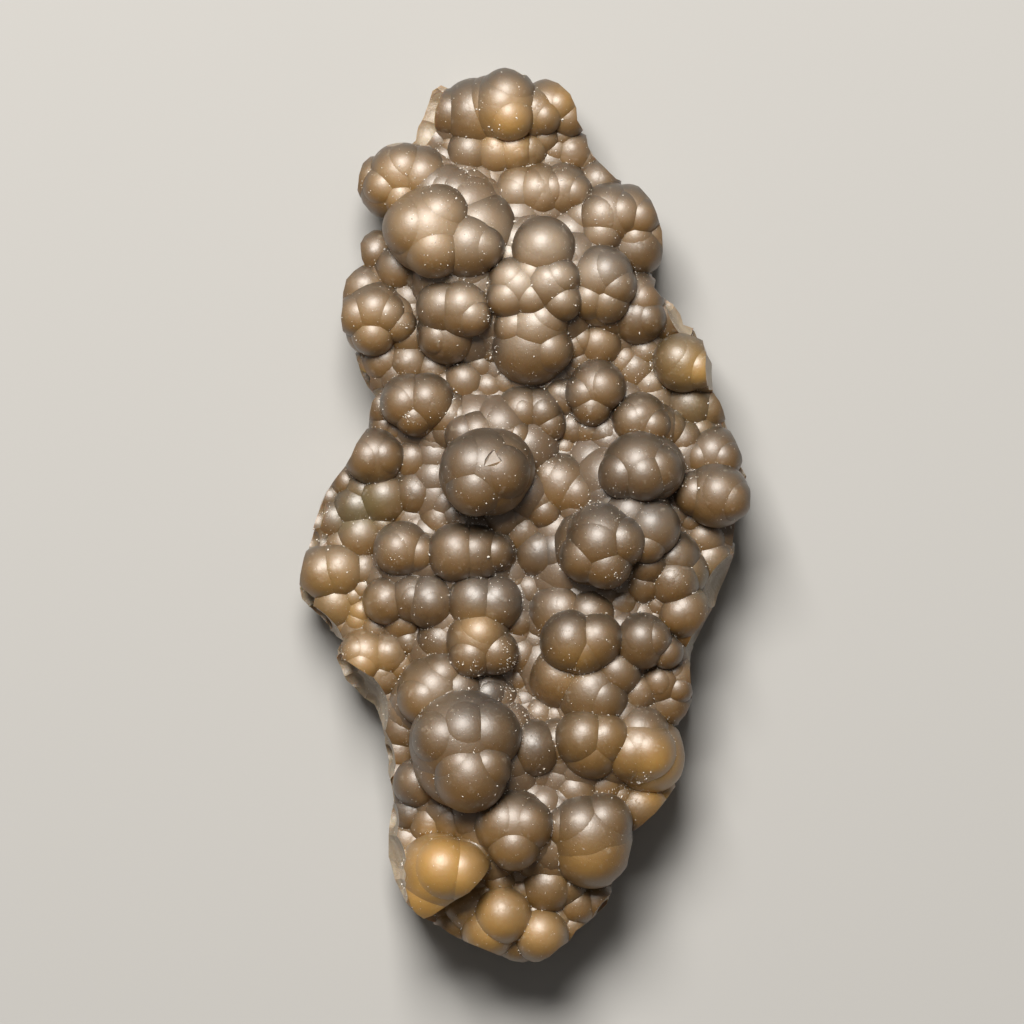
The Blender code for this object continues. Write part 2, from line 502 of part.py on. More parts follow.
# The nodules and their facets, all grown together with the crust.
grown = collection("nodules")
for x, y, r, z in balls:
    ball("nodule", x, y, r, z, grown, 4 if r >= 45 else 3 if r >= 17 else 2)
    # A nodule that stands clear of the crust grew on an older one below it.
    top = crust_top(x, y)
    while z - ROOT_GAP * r > top:
        r *= ROOT_SHRINK
        z -= 0.75 * r
        ball("root", x, y, r, z, grown, 3)
company = [0] * len(balls)
for hx, hy, _, _ in FACETS:
    company[surface_at(hx, hy, balls)[1]] += 1
for hx, hy, r, proud in FACETS:
    ball("facet", *place_facet(hx, hy, r, proud, balls, company), grown, 4)
combine(crust, grown, "UNION")
discard(grown)

# Nodules that overhang the rim were broken off with it.
outer = prism("outer", OUTLINE, -20.0, 260.0, work)
combine(crust, outer, "INTERSECT")

# The rim is chipped, and the right-hand edge was broken off too.
breaks = collection("breaks")
for x, y, r, bottom in CHIPS:
    ball("chip", x, y, r, bottom + r, breaks, 2)
for x, y, r, z in BREAKS:
    ball("split", x, y, r, z, breaks, 4)
bm = bmesh.new()
bmesh.ops.create_cube(bm, size=1.0)
place = (Matrix.Translation(world(738, 360, 110)) @ Matrix.Rotation(-0.10, 4, "Y")
         @ Matrix.Diagonal(Vector((56.0 * UNIT, 60.0 * UNIT, 120.0 * UNIT, 1.0))))
bmesh.ops.transform(bm, matrix=place, verts=bm.verts)
from_bmesh(bm, "break_right", breaks)
for cutter in breaks.objects:
    cutter.hide_render = True
    cutter.display_type = "WIRE"
combine(crust, breaks, "DIFFERENCE")

# The broken-off lobe grew last, over its neighbours, and has a sharp edge.
first, *others = LOBE
lobe = ball("lobe", *first, work, 4)
parts = collection("lobe")
for x, y, r, z in others:
    ball("lobe_part", x, y, r, z, parts, 4)
combine(lobe, parts, "UNION")
discard(parts)
edge = prism("lobe_edge", LOBE_EDGE, 70.0, 240.0, work)
combine(lobe, edge, "INTERSECT")
combine(crust, lobe, "UNION")
keep_main_body(crust)

# Keep the surface light: the large smooth nodules lose the faces they can spare.
bm = bmesh.new()
bm.from_mesh(crust.data)
bmesh.ops.triangulate(bm, faces=bm.faces)
bm.to_mesh(crust.data)
bm.free()
step = crust.modifiers.new("lighten", "DECIMATE")
step.ratio = min(1.0, TARGET_TRIS / len(crust.data.polygons))
bake(crust)

# Set it down on the cut back, and centre the plan of the whole piece.
corner_low = Vector([min(v.co[k] for v in crust.data.vertices) for k in range(3)])
corner_high = Vector([max(v.co[k] for v in crust.data.vertices) for k in range(3)])
shift = -0.5 * (corner_low + corner_high)
shift.z = -corner_low.z
crust.data.transform(Matrix.Translation(shift))

# ------------------------------------------------------------------ material
silica = bpy.data.materials.new("chalcedony_honey_grey")
silica.use_nodes = True
shader = silica.node_tree.nodes["Principled BSDF"]
shader.inputs["Base Color"].default_value = (0.36, 0.235, 0.13, 1.0)
shader.inputs["Roughness"].default_value = 0.34
shader.inputs["Metallic"].default_value = 0.0
shader.inputs["IOR"].default_value = 1.54
shader.inputs["Subsurface Weight"].default_value = 0.35
shader.inputs["Subsurface Radius"].default_value = (0.004, 0.002, 0.001)
silica.diffuse_color = (0.36, 0.235, 0.13, 1.0)
crust.data.materials.clear()
crust.data.materials.append(silica)
for face in crust.data.polygons:
    face.material_index = 0

# Creases between nodules stay crisp, each nodule shades round.
crust.data.polygons.foreach_set("use_smooth", [True] * len(crust.data.polygons))
crust.data.set_sharp_from_angle(angle=math.radians(38.0))

# One named solid in the finished collection.
work.objects.unlink(crust)
stone.objects.link(crust)
crust.name = "chalcedony"
crust.data.name = "chalcedony"
discard(work)
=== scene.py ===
import json
import math

import bpy
import bmesh
import numpy as np
from mathutils import Matrix, Vector
from mathutils.bvhtree import BVHTree

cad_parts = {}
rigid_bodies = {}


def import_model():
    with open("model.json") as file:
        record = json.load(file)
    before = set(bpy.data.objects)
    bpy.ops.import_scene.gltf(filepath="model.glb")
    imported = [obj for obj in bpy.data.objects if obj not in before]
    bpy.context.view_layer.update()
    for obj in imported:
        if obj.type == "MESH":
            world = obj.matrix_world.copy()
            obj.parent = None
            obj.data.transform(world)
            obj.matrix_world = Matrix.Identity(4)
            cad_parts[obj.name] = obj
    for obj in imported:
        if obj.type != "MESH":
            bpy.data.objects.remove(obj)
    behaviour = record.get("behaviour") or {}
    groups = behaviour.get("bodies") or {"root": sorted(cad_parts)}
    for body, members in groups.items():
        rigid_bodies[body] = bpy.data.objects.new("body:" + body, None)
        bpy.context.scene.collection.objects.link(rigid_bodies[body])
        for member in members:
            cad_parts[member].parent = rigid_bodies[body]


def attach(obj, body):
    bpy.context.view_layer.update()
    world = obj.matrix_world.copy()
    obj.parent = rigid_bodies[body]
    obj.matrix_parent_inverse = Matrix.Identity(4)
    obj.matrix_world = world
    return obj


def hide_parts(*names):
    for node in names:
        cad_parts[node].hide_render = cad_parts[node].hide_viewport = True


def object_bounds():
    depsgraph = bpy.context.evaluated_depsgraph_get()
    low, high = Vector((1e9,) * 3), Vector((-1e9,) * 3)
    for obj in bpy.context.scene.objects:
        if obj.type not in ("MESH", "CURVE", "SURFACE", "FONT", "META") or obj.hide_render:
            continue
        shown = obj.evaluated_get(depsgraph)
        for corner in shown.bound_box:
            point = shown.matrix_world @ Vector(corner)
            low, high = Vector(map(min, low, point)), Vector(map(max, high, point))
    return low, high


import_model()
cad_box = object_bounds()

# ---------------------------------------------------------------- dimensions
UNIT = 0.000112          # metres in one layout unit
MID_X, MID_Y = 523.5, 514.5
RIM_TOP = 50.0           # height of the crust at its broken rim, layout units
CRUST_RISE = 52.0        # further height it gains away from the rim
CRUST_REACH = 30.0       # distance from the rim in which it gains most of that
FOOT_X, FOOT_Y = 0.90, 0.965
ROOT_GAP, ROOT_SHRINK = 0.45, 0.94
FILL_REACH, FILL_SHARE = 8.0, 0.64
CROWD_LIFT = 1.5                      # facets that crowd a nodule stand higher on it
CAP_BELOW, CAP_GROW = 30.0, 0.34     # nodules smaller than this swell into lower caps
rng = np.random.default_rng(5)

# Rim of the crust, walked once round, layout units (x right, y down the piece).
RIM = [
    (455, 92), (480, 84), (515, 84), (545, 92), (562, 104), (570, 122), (580, 140),
    (588, 156), (600, 168), (616, 182), (632, 196), (642, 212), (648, 232), (650, 252),
    (652, 268), (651, 285), (658, 297), (672, 305), (681, 316), (684, 326), (694, 331),
    (700, 345), (704, 358), (708, 370), (709, 390), (717, 402), (722, 414), (727, 427),
    (731, 440), (733, 455), (741, 466), (747, 476), (742, 492), (738, 508), (735, 520),
    (733, 540), (731, 555), (727, 570), (722, 582), (717, 595), (712, 610), (704, 624),
    (696, 640), (689, 653), (685, 668), (685, 681), (684, 692), (682, 703), (677, 714),
    (673, 724), (672, 740), (672, 756), (668, 770), (662, 782), (654, 797), (644, 812),
    (634, 822), (627, 832), (624, 845), (620, 858), (614, 870), (608, 882), (608, 892),
    (604, 903), (596, 911), (586, 920), (574, 929), (566, 939), (556, 947), (547, 955),
    (538, 959), (525, 961), (512, 959), (502, 954), (490, 949), (475, 943), (460, 937),
    (450, 931), (440, 924), (428, 920), (415, 912), (407, 903), (401, 892), (395, 880),
    (391, 867), (388, 857), (388, 845), (389, 826), (391, 812), (395, 800), (393, 787),
    (390, 772), (389, 760), (387, 745), (385, 730), (380, 715), (374, 706), (364, 699),
    (355, 690), (347, 680), (343, 670), (338, 660), (337, 650), (341, 643), (337, 634),
    (325, 622), (313, 610), (302, 599), (300, 588), (304, 575), (307, 561), (309, 546),
    (313, 532), (318, 516), (322, 506), (328, 492), (336, 480), (346, 468), (354, 456),
    (361, 444), (367, 436), (370, 427), (371, 412), (373, 402), (376, 396), (368, 387),
    (362, 375), (358, 362), (356, 350), (350, 338), (348, 318), (350, 300), (356, 288),
    (366, 276), (371, 264), (373, 250), (377, 238), (383, 228), (383, 216), (376, 206),
    (372, 192), (372, 178), (378, 166), (392, 157), (407, 149), (416, 140), (419, 126),
    (425, 115), (429, 102), (433, 91), (441, 85),
]

# Outline that the nodules are broken off to, walked once round.
OUTLINE = [
    (500, 67), (514, 71), (522, 76), (540, 78), (558, 84), (570, 95), (576, 108), (577, 121),
    (586, 134), (588, 146), (593, 156), (604, 167), (616, 179), (638, 187), (650, 201),
    (656, 215), (661, 232), (662, 252), (660, 265), (656, 275), (653, 288), (660, 297),
    (672, 304), (680, 314), (683, 325), (694, 329), (701, 332), (703, 345), (706, 355),
    (711, 364), (711, 380), (712, 392), (719, 402), (723, 412), (728, 427), (735, 441),
    (741, 455), (743, 466), (748, 474), (748, 483), (749, 492), (749, 506), (746, 520),
    (738, 528), (735, 540), (733, 555), (728, 570), (723, 582), (718, 595), (713, 610),
    (705, 624), (697, 640), (691, 653), (689, 668), (690, 681), (692, 692), (690, 703),
    (685, 714), (678, 722), (678, 730), (681, 741), (684, 756), (682, 768), (678, 780),
    (667, 796), (655, 812), (642, 824), (632, 831), (632, 840), (629, 853), (626, 865),
    (620, 873), (611, 882), (611, 892), (606, 904), (598, 912), (587, 922), (575, 930),
    (569, 940), (558, 948), (549, 956), (540, 960), (525, 962), (512, 960), (502, 955),
    (491, 950), (475, 944), (460, 938), (450, 932), (440, 925), (428, 922), (414, 914),
    (406, 905), (400, 893), (394, 880), (390, 867), (387, 858), (387, 845), (388, 826),
    (391, 812), (395, 800), (393, 787), (389, 772), (389, 760), (386, 745), (384, 730),
    (379, 714), (374, 705), (364, 698), (354, 688), (346, 680), (342, 670), (337, 660),
    (336, 650), (338, 645), (344, 641), (335, 635), (322, 624), (310, 611), (300, 600),
    (299, 588), (300, 575), (303, 561), (307, 546), (312, 532), (317, 516), (321, 506),
    (327, 492), (335, 480), (346, 466), (352, 456), (357, 444), (362, 436), (369, 427),
    (370, 412), (372, 402), (376, 397), (368, 387), (362, 375), (358, 362), (355, 353),
    (349, 343), (343, 332), (341, 318), (343, 306), (344, 292), (347, 280), (355, 272),
    (366, 265), (363, 258), (362, 244), (366, 237), (376, 230), (378, 224), (372, 212),
    (364, 202), (359, 190), (360, 176), (364, 164), (373, 155), (385, 146), (398, 142),
    (415, 139), (418, 126), (424, 115), (428, 102), (430, 92), (438, 83), (449, 82), (458, 77),
    (470, 71), (485, 68),
]

# Nodules: (x, y, radius, height of the centre above the back), layout units.
NODULES = [
    (504, 107, 36, 102), (536, 113, 21, 104), (475, 113, 35, 90), (492, 108, 33, 97),
    (549, 108, 27, 92), (470, 152, 20, 96), (497, 152, 20, 99), (514, 150, 20, 100),
    (529, 150, 16, 98), (455, 148, 16, 88), (545, 138, 13, 97), (560, 136, 13, 91),
    (572, 153, 17, 88), (584, 160, 14, 84), (556, 150, 14, 90), (520, 192, 26, 98),
    (540, 192, 27, 100), (562, 191, 26, 98), (497, 190, 16, 94), (598, 183, 18, 90),
    (400, 174, 31, 92), (390, 190, 28, 88), (422, 176, 29, 95), (376, 180, 18, 86),
    (430, 231, 44, 124), (468, 244, 36, 126), (478, 230, 42, 110), (608, 216, 34, 97),
    (590, 218, 27, 95), (628, 214, 30, 96), (637, 247, 27, 94), (646, 238, 24, 90),
    (377, 253, 17, 86), (398, 268, 20, 94), (414, 277, 13, 92), (365, 290, 22, 86),
    (385, 275, 14, 90), (375, 312, 32, 92), (392, 318, 24, 95), (373, 330, 23, 90),
    (410, 335, 19, 90), (412, 312, 16, 88), (445, 308, 26, 122), (463, 309, 30, 124),
    (448, 333, 32, 104), (543, 251, 34, 126), (512, 258, 22, 118), (550, 285, 29, 134),
    (520, 288, 32, 126), (508, 286, 25, 122), (531, 345, 41, 110), (536, 328, 34, 121),
    (573, 345, 14, 110), (582, 340, 13, 111), (599, 344, 20, 104), (611, 345, 15, 98),
    (577, 360, 16, 102), (600, 277, 32, 120), (598, 298, 30, 112), (583, 267, 16, 122),
    (612, 312, 24, 104), (636, 300, 24, 104), (638, 318, 24, 106), (662, 320, 20, 92),
    (675, 320, 17, 86), (683, 363, 30, 108), (700, 370, 22, 96), (690, 405, 22, 90),
    (706, 408, 18, 86), (678, 402, 14, 90), (597, 388, 26, 114), (562, 397, 16, 108),
    (553, 388, 13, 103), (560, 411, 13, 101), (522, 412, 22, 110), (541, 412, 20, 111),
    (545, 426, 20, 103), (640, 420, 24, 114), (656, 428, 20, 110), (667, 429, 16, 107),
    (590, 428, 16, 104), (606, 433, 18, 104), (621, 441, 14, 105), (573, 429, 16, 102),
    (548, 446, 14, 104), (565, 449, 13, 102), (635, 370, 20, 92), (645, 352, 18, 92),
    (625, 362, 16, 95), (650, 385, 18, 92), (660, 400, 14, 92), (682, 440, 18, 98),
    (700, 432, 14, 92), (495, 348, 15, 102), (465, 382, 18, 98), (488, 388, 16, 97),
    (481, 365, 15, 96), (507, 382, 16, 97), (478, 402, 14, 101), (499, 402, 12, 100),
    (385, 360, 20, 82), (410, 363, 19, 89), (433, 369, 17, 90), (452, 358, 14, 92),
    (447, 385, 14, 94), (370, 365, 14, 76), (409, 402, 25, 110), (427, 402, 26, 112),
    (420, 415, 20, 106), (450, 418, 23, 104), (441, 434, 15, 98), (480, 437, 28, 113),
    (506, 438, 26, 113), (384, 408, 15, 90), (386, 425, 13, 88), (398, 430, 12, 92),
    (375, 457, 27, 98), (413, 460, 18, 95), (434, 460, 12, 96), (428, 472, 11, 95),
    (404, 440, 12, 92), (348, 483, 13, 80), (331, 499, 14, 72), (385, 498, 26, 88),
    (359, 508, 22, 82), (336, 521, 20, 74), (366, 492, 18, 84), (417, 493, 19, 97),
    (402, 513, 13, 90), (434, 503, 17, 96), (441, 520, 19, 98), (462, 518, 13, 95),
    (478, 524, 12, 95), (362, 536, 24, 82), (345, 546, 18, 78), (384, 525, 14, 88),
    (425, 535, 12, 96), (402, 549, 25, 116), (457, 553, 29, 125), (476, 553, 26, 125),
    (493, 553, 19, 119), (459, 571, 20, 108), (325, 573, 26, 82), (340, 570, 26, 84),
    (336, 604, 26, 73), (364, 570, 18, 84), (365, 588, 14, 86), (362, 612, 12, 88),
    (359, 621, 12, 86), (345, 625, 12, 78), (355, 597, 12, 86), (378, 628, 14, 90),
    (370, 640, 12, 86), (387, 601, 19, 110), (414, 598, 20, 115), (430, 601, 24, 117),
    (404, 621, 17, 98), (486, 471, 43, 147), (480, 474, 41, 144), (495, 468, 40, 144),
    (491, 478, 38, 146), (560, 485, 34, 104), (538, 500, 22, 112), (572, 492, 25, 112),
    (546, 512, 20, 105), (540, 553, 21, 112), (524, 533, 20, 107), (512, 508, 15, 109),
    (516, 560, 14, 104), (513, 580, 15, 104), (638, 467, 36, 134), (652, 468, 33, 128),
    (716, 495, 33, 110), (692, 461, 14, 94), (714, 455, 26, 95), (684, 500, 15, 99),
    (690, 518, 14, 97), (676, 478, 13, 104), (704, 538, 18, 92), (709, 560, 20, 88),
    (723, 560, 15, 82), (712, 585, 18, 76), (690, 550, 14, 96), (602, 540, 37, 140),
    (610, 538, 50, 104), (592, 547, 41, 117), (652, 528, 26, 136), (630, 515, 30, 124),
    (648, 564, 17, 126), (644, 582, 18, 116), (673, 581, 22, 118), (673, 558, 24, 112),
    (684, 572, 20, 108), (628, 588, 14, 112), (684, 612, 24, 110), (690, 626, 19, 100),
    (660, 602, 16, 108), (655, 618, 13, 108), (476, 602, 27, 122), (494, 604, 26, 122),
    (478, 641, 33, 119), (442, 641, 22, 106), (484, 656, 24, 108), (517, 622, 16, 108),
    (522, 655, 18, 104), (530, 590, 16, 104), (508, 612, 14, 110), (520, 678, 14, 100),
    (512, 640, 14, 105), (366, 655, 24, 92), (388, 655, 20, 94), (383, 676, 20, 88),
    (410, 642, 15, 96), (350, 668, 14, 80), (400, 665, 16, 92), (435, 692, 38, 108),
    (496, 699, 19, 106), (475, 675, 14, 102), (404, 730, 21, 90), (392, 705, 16, 82),
    (400, 752, 18, 88), (418, 783, 20, 106), (400, 776, 16, 90), (570, 641, 31, 134),
    (594, 640, 27, 134), (582, 646, 30, 131), (560, 612, 33, 106), (590, 616, 28, 116),
    (586, 592, 16, 112), (604, 596, 17, 115), (619, 603, 17, 113), (641, 641, 26, 126),
    (592, 692, 37, 110), (617, 672, 20, 124), (562, 675, 36, 104), (637, 692, 17, 111),
    (555, 703, 18, 100), (664, 655, 20, 101), (660, 682, 21, 105), (675, 678, 20, 100),
    (668, 702, 20, 98), (683, 692, 14, 91), (680, 655, 14, 92), (463, 742, 54, 129),
    (463, 758, 50, 124), (470, 775, 37, 152), (512, 776, 19, 114), (530, 775, 16, 110),
    (533, 748, 28, 120), (558, 742, 20, 118), (583, 738, 28, 130), (602, 739, 25, 130),
    (591, 747, 32, 121), (540, 716, 18, 102), (556, 718, 18, 102), (612, 715, 18, 104),
    (640, 750, 36, 112), (648, 755, 39, 98), (640, 734, 30, 110), (575, 792, 24, 106),
    (603, 785, 18, 104), (640, 806, 26, 90), (620, 795, 16, 98), (655, 792, 16, 86),
    (514, 826, 38, 124), (498, 800, 22, 118), (590, 835, 42, 112), (592, 846, 42, 109),
    (455, 820, 22, 102), (432, 823, 18, 98), (412, 812, 16, 92), (412, 795, 16, 92),
    (442, 800, 18, 100), (501, 880, 15, 100), (503, 915, 27, 108), (490, 928, 28, 95),
    (541, 935, 25, 98), (547, 885, 26, 97), (565, 885, 20, 94), (525, 890, 16, 96),
    (577, 903, 17, 89), (596, 900, 16, 85), (470, 907, 22, 92), (455, 922, 16, 84),
    (518, 940, 18, 88), (570, 925, 16, 80),
]

# Facets of those nodules: (x, y) where the facet is brightest under a lamp that leans
# up the piece, its radius, and how far it stands proud.
FACETS = [
    (505, 89, 36, 1.2), (508, 110, 38, 1.6), (543, 112, 24, 1.2), (450, 106, 30, 1),
    (556, 100, 24, 0.8), (566, 112, 22, 0.5), (516, 186, 28, 0.5), (534, 184, 26, 0.5),
    (551, 184, 26, 0.5), (572, 187, 22, 0.5), (402, 162, 32, 0.8), (383, 181, 28, 0.8),
    (420, 168, 28, 0.6), (400, 190, 26, 0.5), (413, 220, 42, 1), (437, 208, 40, 1),
    (466, 236, 34, 2), (478, 240, 32, 1.6), (432, 240, 38, 0.6), (583, 211, 26, 0.7),
    (601, 209, 27, 0.9), (620, 207, 27, 0.9), (638, 211, 24, 0.7), (600, 227, 22, 0.6),
    (634, 232, 22, 1), (357, 309, 24, 0.9), (373, 303, 27, 0.7), (385, 308, 24, 0.7),
    (397, 318, 22, 0.8), (372, 328, 24, 0.5), (441, 299, 27, 0.7), (460, 299, 28, 0.7),
    (470, 310, 28, 0.5), (437, 331, 28, 0.6), (541, 240, 34, 0.8), (556, 273, 28, 1.5),
    (531, 268, 29, 1), (511, 274, 27, 0.9), (530, 291, 28, 0.6), (560, 296, 24, 0.6),
    (507, 291, 25, 0.6), (541, 313, 36, 1), (548, 343, 34, 0.8), (515, 320, 30, 0.5),
    (604, 267, 29, 1), (588, 292, 25, 0.9), (606, 295, 25, 0.9), (613, 280, 26, 0.6),
    (629, 309, 24, 0.7), (645, 313, 23, 0.7), (640, 294, 23, 0.6), (677, 353, 32, 0.6),
    (696, 362, 28, 0.5), (600, 381, 27, 0.8), (583, 388, 21, 1), (590, 401, 22, 0.5),
    (521, 406, 22, 0.6), (541, 407, 20, 0.6), (548, 420, 18, 0.6), (633, 414, 25, 0.8),
    (651, 420, 21, 0.8), (403, 396, 25, 0.6), (425, 393, 26, 0.6), (413, 411, 22, 0.4),
    (458, 413, 22, 0.5), (476, 427, 28, 0.5), (514, 432, 24, 0.5), (368, 451, 25, 0.6),
    (382, 450, 25, 0.7), (397, 543, 26, 0.7), (418, 547, 20, 0.9), (454, 543, 30, 0.6),
    (473, 545, 26, 0.6), (493, 547, 19, 0.6), (412, 592, 20, 0.5), (429, 596, 22, 0.5),
    (472, 458, 44, 1), (497, 463, 42, 1), (474, 478, 42, 0.5), (535, 489, 23, 0.6),
    (575, 487, 26, 0.8), (550, 471, 28, 0.5), (543, 506, 22, 0.4), (621, 467, 30, 0.9),
    (641, 466, 30, 1.2), (655, 462, 30, 0.5), (694, 487, 28, 0.6), (717, 486, 30, 0.7),
    (727, 492, 28, 0.8), (700, 452, 20, 0.6), (721, 452, 24, 0.6), (597, 534, 34, 1),
    (619, 534, 32, 1), (583, 549, 30, 0.8), (604, 556, 34, 0.5), (645, 538, 22, 0.4),
    (678, 607, 23, 0.6), (472, 592, 28, 0.5), (495, 593, 26, 0.5), (478, 628, 32, 0.8),
    (470, 648, 30, 0.6), (494, 645, 26, 0.6), (357, 647, 20, 0.7), (361, 658, 22, 0.7),
    (387, 648, 20, 0.6), (423, 690, 30, 1), (456, 683, 28, 1), (441, 670, 30, 0.5),
    (568, 630, 31, 0.4), (595, 631, 27, 0.4), (560, 603, 30, 0.5), (640, 632, 26, 0.5),
    (650, 633, 24, 0.3), (600, 690, 32, 0.5), (665, 647, 17, 0.4), (672, 668, 17, 0.5),
    (657, 676, 19, 0.5), (676, 684, 16, 0.5), (442, 729, 32, 1.4), (462, 723, 36, 1),
    (483, 724, 36, 1), (461, 758, 34, 0.8), (484, 759, 34, 0.8), (582, 729, 28, 0.5),
    (603, 730, 25, 0.5), (645, 743, 34, 0.6), (630, 744, 34, 0.4), (503, 815, 36, 0.8),
    (524, 816, 36, 0.8), (512, 836, 34, 0.4), (601, 813, 38, 1), (580, 818, 34, 1),
    (564, 820, 24, 1),
]

# Scoops broken out of the rim: (x, y, radius, height), layout units.
SCOOPS = [
    (296, 500, 52, 92), (281, 628, 44, 84), (330, 715, 44, 96), (352, 800, 46, 92),
    (357, 872, 48, 96), (330, 380, 40, 84), (405, 108, 26, 92), (752, 596, 42, 92),
    (615, 938, 44, 92), (742, 366, 36, 100), (470, 985, 40, 84), (668, 268, 16, 78),
]

# Shallow dishes where the rim is chipped: (x, y, radius, level of the bottom, how pale).
CHIPS = [
    (431, 108, 26, 58, 0.8), (426, 131, 20, 60, 0.7), (441, 90, 14, 68, 0.8),
    (366, 372, 18, 52, 0.5), (371, 388, 14, 52, 0.7), (317, 515, 18, 56, 0.25),
    (322, 538, 15, 58, 0.3), (309, 541, 12, 50, 0.3), (305, 597, 17, 58, 1.0),
    (322, 616, 16, 48, 0.5), (344, 668, 15, 54, 0.6), (352, 683, 12, 52, 0.7),
    (368, 705, 13, 52, 0.7), (384, 733, 9, 54, 0.9), (388, 754, 10, 56, 0.8),
    (400, 790, 16, 64, 0.15), (393, 815, 14, 60, 0.8), (578, 932, 16, 50, 0.4),
    (601, 906, 14, 52, 0.4), (590, 918, 12, 50, 0.5),
    
    (581, 128, 12, 66, 0.5), (591, 150, 12, 62, 0.6), (606, 174, 9, 64, 0.5),
    (655, 288, 12, 64, 0.5), (668, 302, 9, 70, 0.6), (724, 425, 11, 64, 0.5),
    (731, 537, 9, 54, 0.6), (728, 557, 9, 52, 0.6), (744, 470, 8, 60, 0.7),
    (345, 645, 9, 56, 0.6), (415, 918, 12, 50, 0.8), (450, 934, 10, 46, 0.6),
    (540, 962, 14, 44, 0.4),
]

# Small flake struck off the great ball: corners and how deep each lies.
NICK = [(484, 467, 1.0), (485, 460, 1.6), (489, 454, 1.8), (494, 450, 1.2), (498, 456, 2.6),
        (502, 461, 3.2), (496, 466, 4.2)]

# Long conchoidal breaks along the rim: (x, y, radius, height, how pale).
BREAKS = [
    (348, 866, 58, 100, 0.95), (345, 822, 54, 104, 0.5), (362, 896, 46, 96, 0.9),
    (384, 96, 52, 104, 0.75), (755, 600, 52, 96, 0.75), (738, 645, 52, 92, 0.6),
    (334, 712, 54, 94, 0.6), (343, 762, 54, 92, 0.75), (292, 655, 54, 88, 0.6),
    (708, 300, 44, 100, 0.7), (640, 935, 52, 92, 0.45),
]

# Broken-off lobe that stands on the crust with a sharp edge all round.
LOBE = [(438, 872, 40, 118), (430, 889, 38, 108), (443, 869, 33, 132), (461, 871, 31, 130)]
LOBE_EDGE = [
    (405, 843), (409, 838), (415, 833), (422, 829), (431, 828), (440, 829), (450, 829),
    (460, 832), (469, 836), (476, 843), (481, 849), (486, 855), (490, 861), (489, 867),
    (484, 875), (478, 882), (470, 890), (460, 896), (450, 902), (441, 908), (432, 914),
    (424, 917), (417, 912), (412, 905), (409, 896), (406, 886), (408, 876), (404, 866),
    (407, 855),
]

# Where the stone is paler and milkier, partly its own milky paleness and partly painted light and
# sheen that brighten the upper middle of the piece: (x, y, reach, amount).
MILKY_AND_LIT = [
    (500, 285, 95, 1.0), (515, 155, 55, 0.7), (545, 245, 45, 0.8), (590, 280, 40, 0.5),
    (430, 225, 60, 0.5), (610, 215, 50, 0.5), (505, 105, 50, 0.5),
    (400, 175, 50, 0.4), (375, 312, 50, 0.4), (345, 575, 50, 0.5), (370, 655, 40, 0.5),
    (640, 400, 60, 0.3), (700, 540, 50, 0.4), (470, 600, 50, 0.2), (545, 935, 40, 0.5),
]

# Where the stone's colour leans: (x, y, reach, honey, olive, grey); the honey is partly the stone's
# own colour and partly painted glow where light shines through thin lobes and their lower sides.
LEANINGS = [
    (440, 868, 42, 1.9, 0.0, 0.0), (425, 905, 22, 1.6, 0.0, 0.0),
    (478, 628, 20, 0.7, 0.1, 0.0), (332, 580, 34, 0.5, 0.2, 0.0),
    (338, 608, 22, 0.35, 0.4, 0.0), (368, 660, 26, 0.7, 0.0, 0.0),
    (360, 615, 16, 0.6, 0.0, 0.0), (700, 372, 18, 0.9, 0.4, 0.0),
    (682, 363, 30, 0.2, 0.8, 0.0), (372, 503, 26, 0.0, 1.0, 0.0),
    (350, 515, 20, 0.0, 0.9, 0.2), (712, 582, 18, 0.0, 0.9, 0.0),
    (695, 408, 22, 0.1, 0.8, 0.1), (665, 775, 26, 1.2, 0.2, 0.0),
    (650, 790, 20, 1.0, 0.2, 0.0), (590, 862, 34, 0.7, 0.1, 0.0),
    (541, 935, 26, 0.7, 0.1, 0.0), (490, 940, 24, 0.6, 0.2, 0.0),
    (565, 100, 24, 0.9, 0.0, 0.0), (508, 124, 30, 1.1, 0.0, 0.0),
    (500, 915, 60, 0.45, 0.1, 0.0), (640, 755, 40, 0.5, 0.0, 0.0),
    (515, 150, 40, 0.3, 0.0, 0.0), (395, 185, 34, 0.4, 0.0, 0.0),
    (430, 240, 40, 0.3, 0.0, 0.0), (370, 325, 34, 0.35, 0.0, 0.0),
    (590, 735, 40, 0.25, 0.1, 0.0), (425, 690, 40, 0.25, 0.0, 0.0),
    (575, 662, 24, 0.7, 0.1, 0.0), (600, 320, 26, 0.3, 0.0, 0.0),
    (545, 245, 26, 0.0, 0.0, 0.35), (608, 262, 22, 0.0, 0.0, 0.9),
    (652, 515, 24, 0.0, 0.0, 1.1), (612, 500, 30, 0.0, 0.0, 0.9),
    (540, 552, 20, 0.0, 0.0, 1.0), (425, 590, 26, 0.0, 0.0, 0.8),
    (485, 590, 26, 0.0, 0.0, 0.8), (463, 700, 30, 0.0, 0.0, 1.0),
    (496, 690, 18, 0.0, 0.0, 1.0), (535, 745, 20, 0.0, 0.0, 0.7),
    (520, 600, 24, 0.0, 0.0, 0.8), (565, 395, 16, 0.0, 0.0, 0.9),
    (400, 805, 22, 0.0, 0.0, 1.3), (640, 715, 22, 0.0, 0.0, 0.7),
    (500, 878, 14, 0.0, 0.0, 0.8), (612, 315, 18, 0.0, 0.0, 0.5),
    (493, 345, 14, 0.0, 0.0, 0.7), (416, 488, 14, 0.0, 0.0, 0.6),
]


# ------------------------------------------------------------------- helpers
def world(x, y, z):
    return Vector(((x - MID_X) * UNIT, (MID_Y - y) * UNIT, z * UNIT))


def collection(name):
    made = bpy.data.collections.new(name)
    bpy.context.scene.collection.children.link(made)
    return made


def discard(home):
    for made in list(home.objects):
        data = made.data
        bpy.data.objects.remove(made)
        bpy.data.meshes.remove(data)
    bpy.data.collections.remove(home)


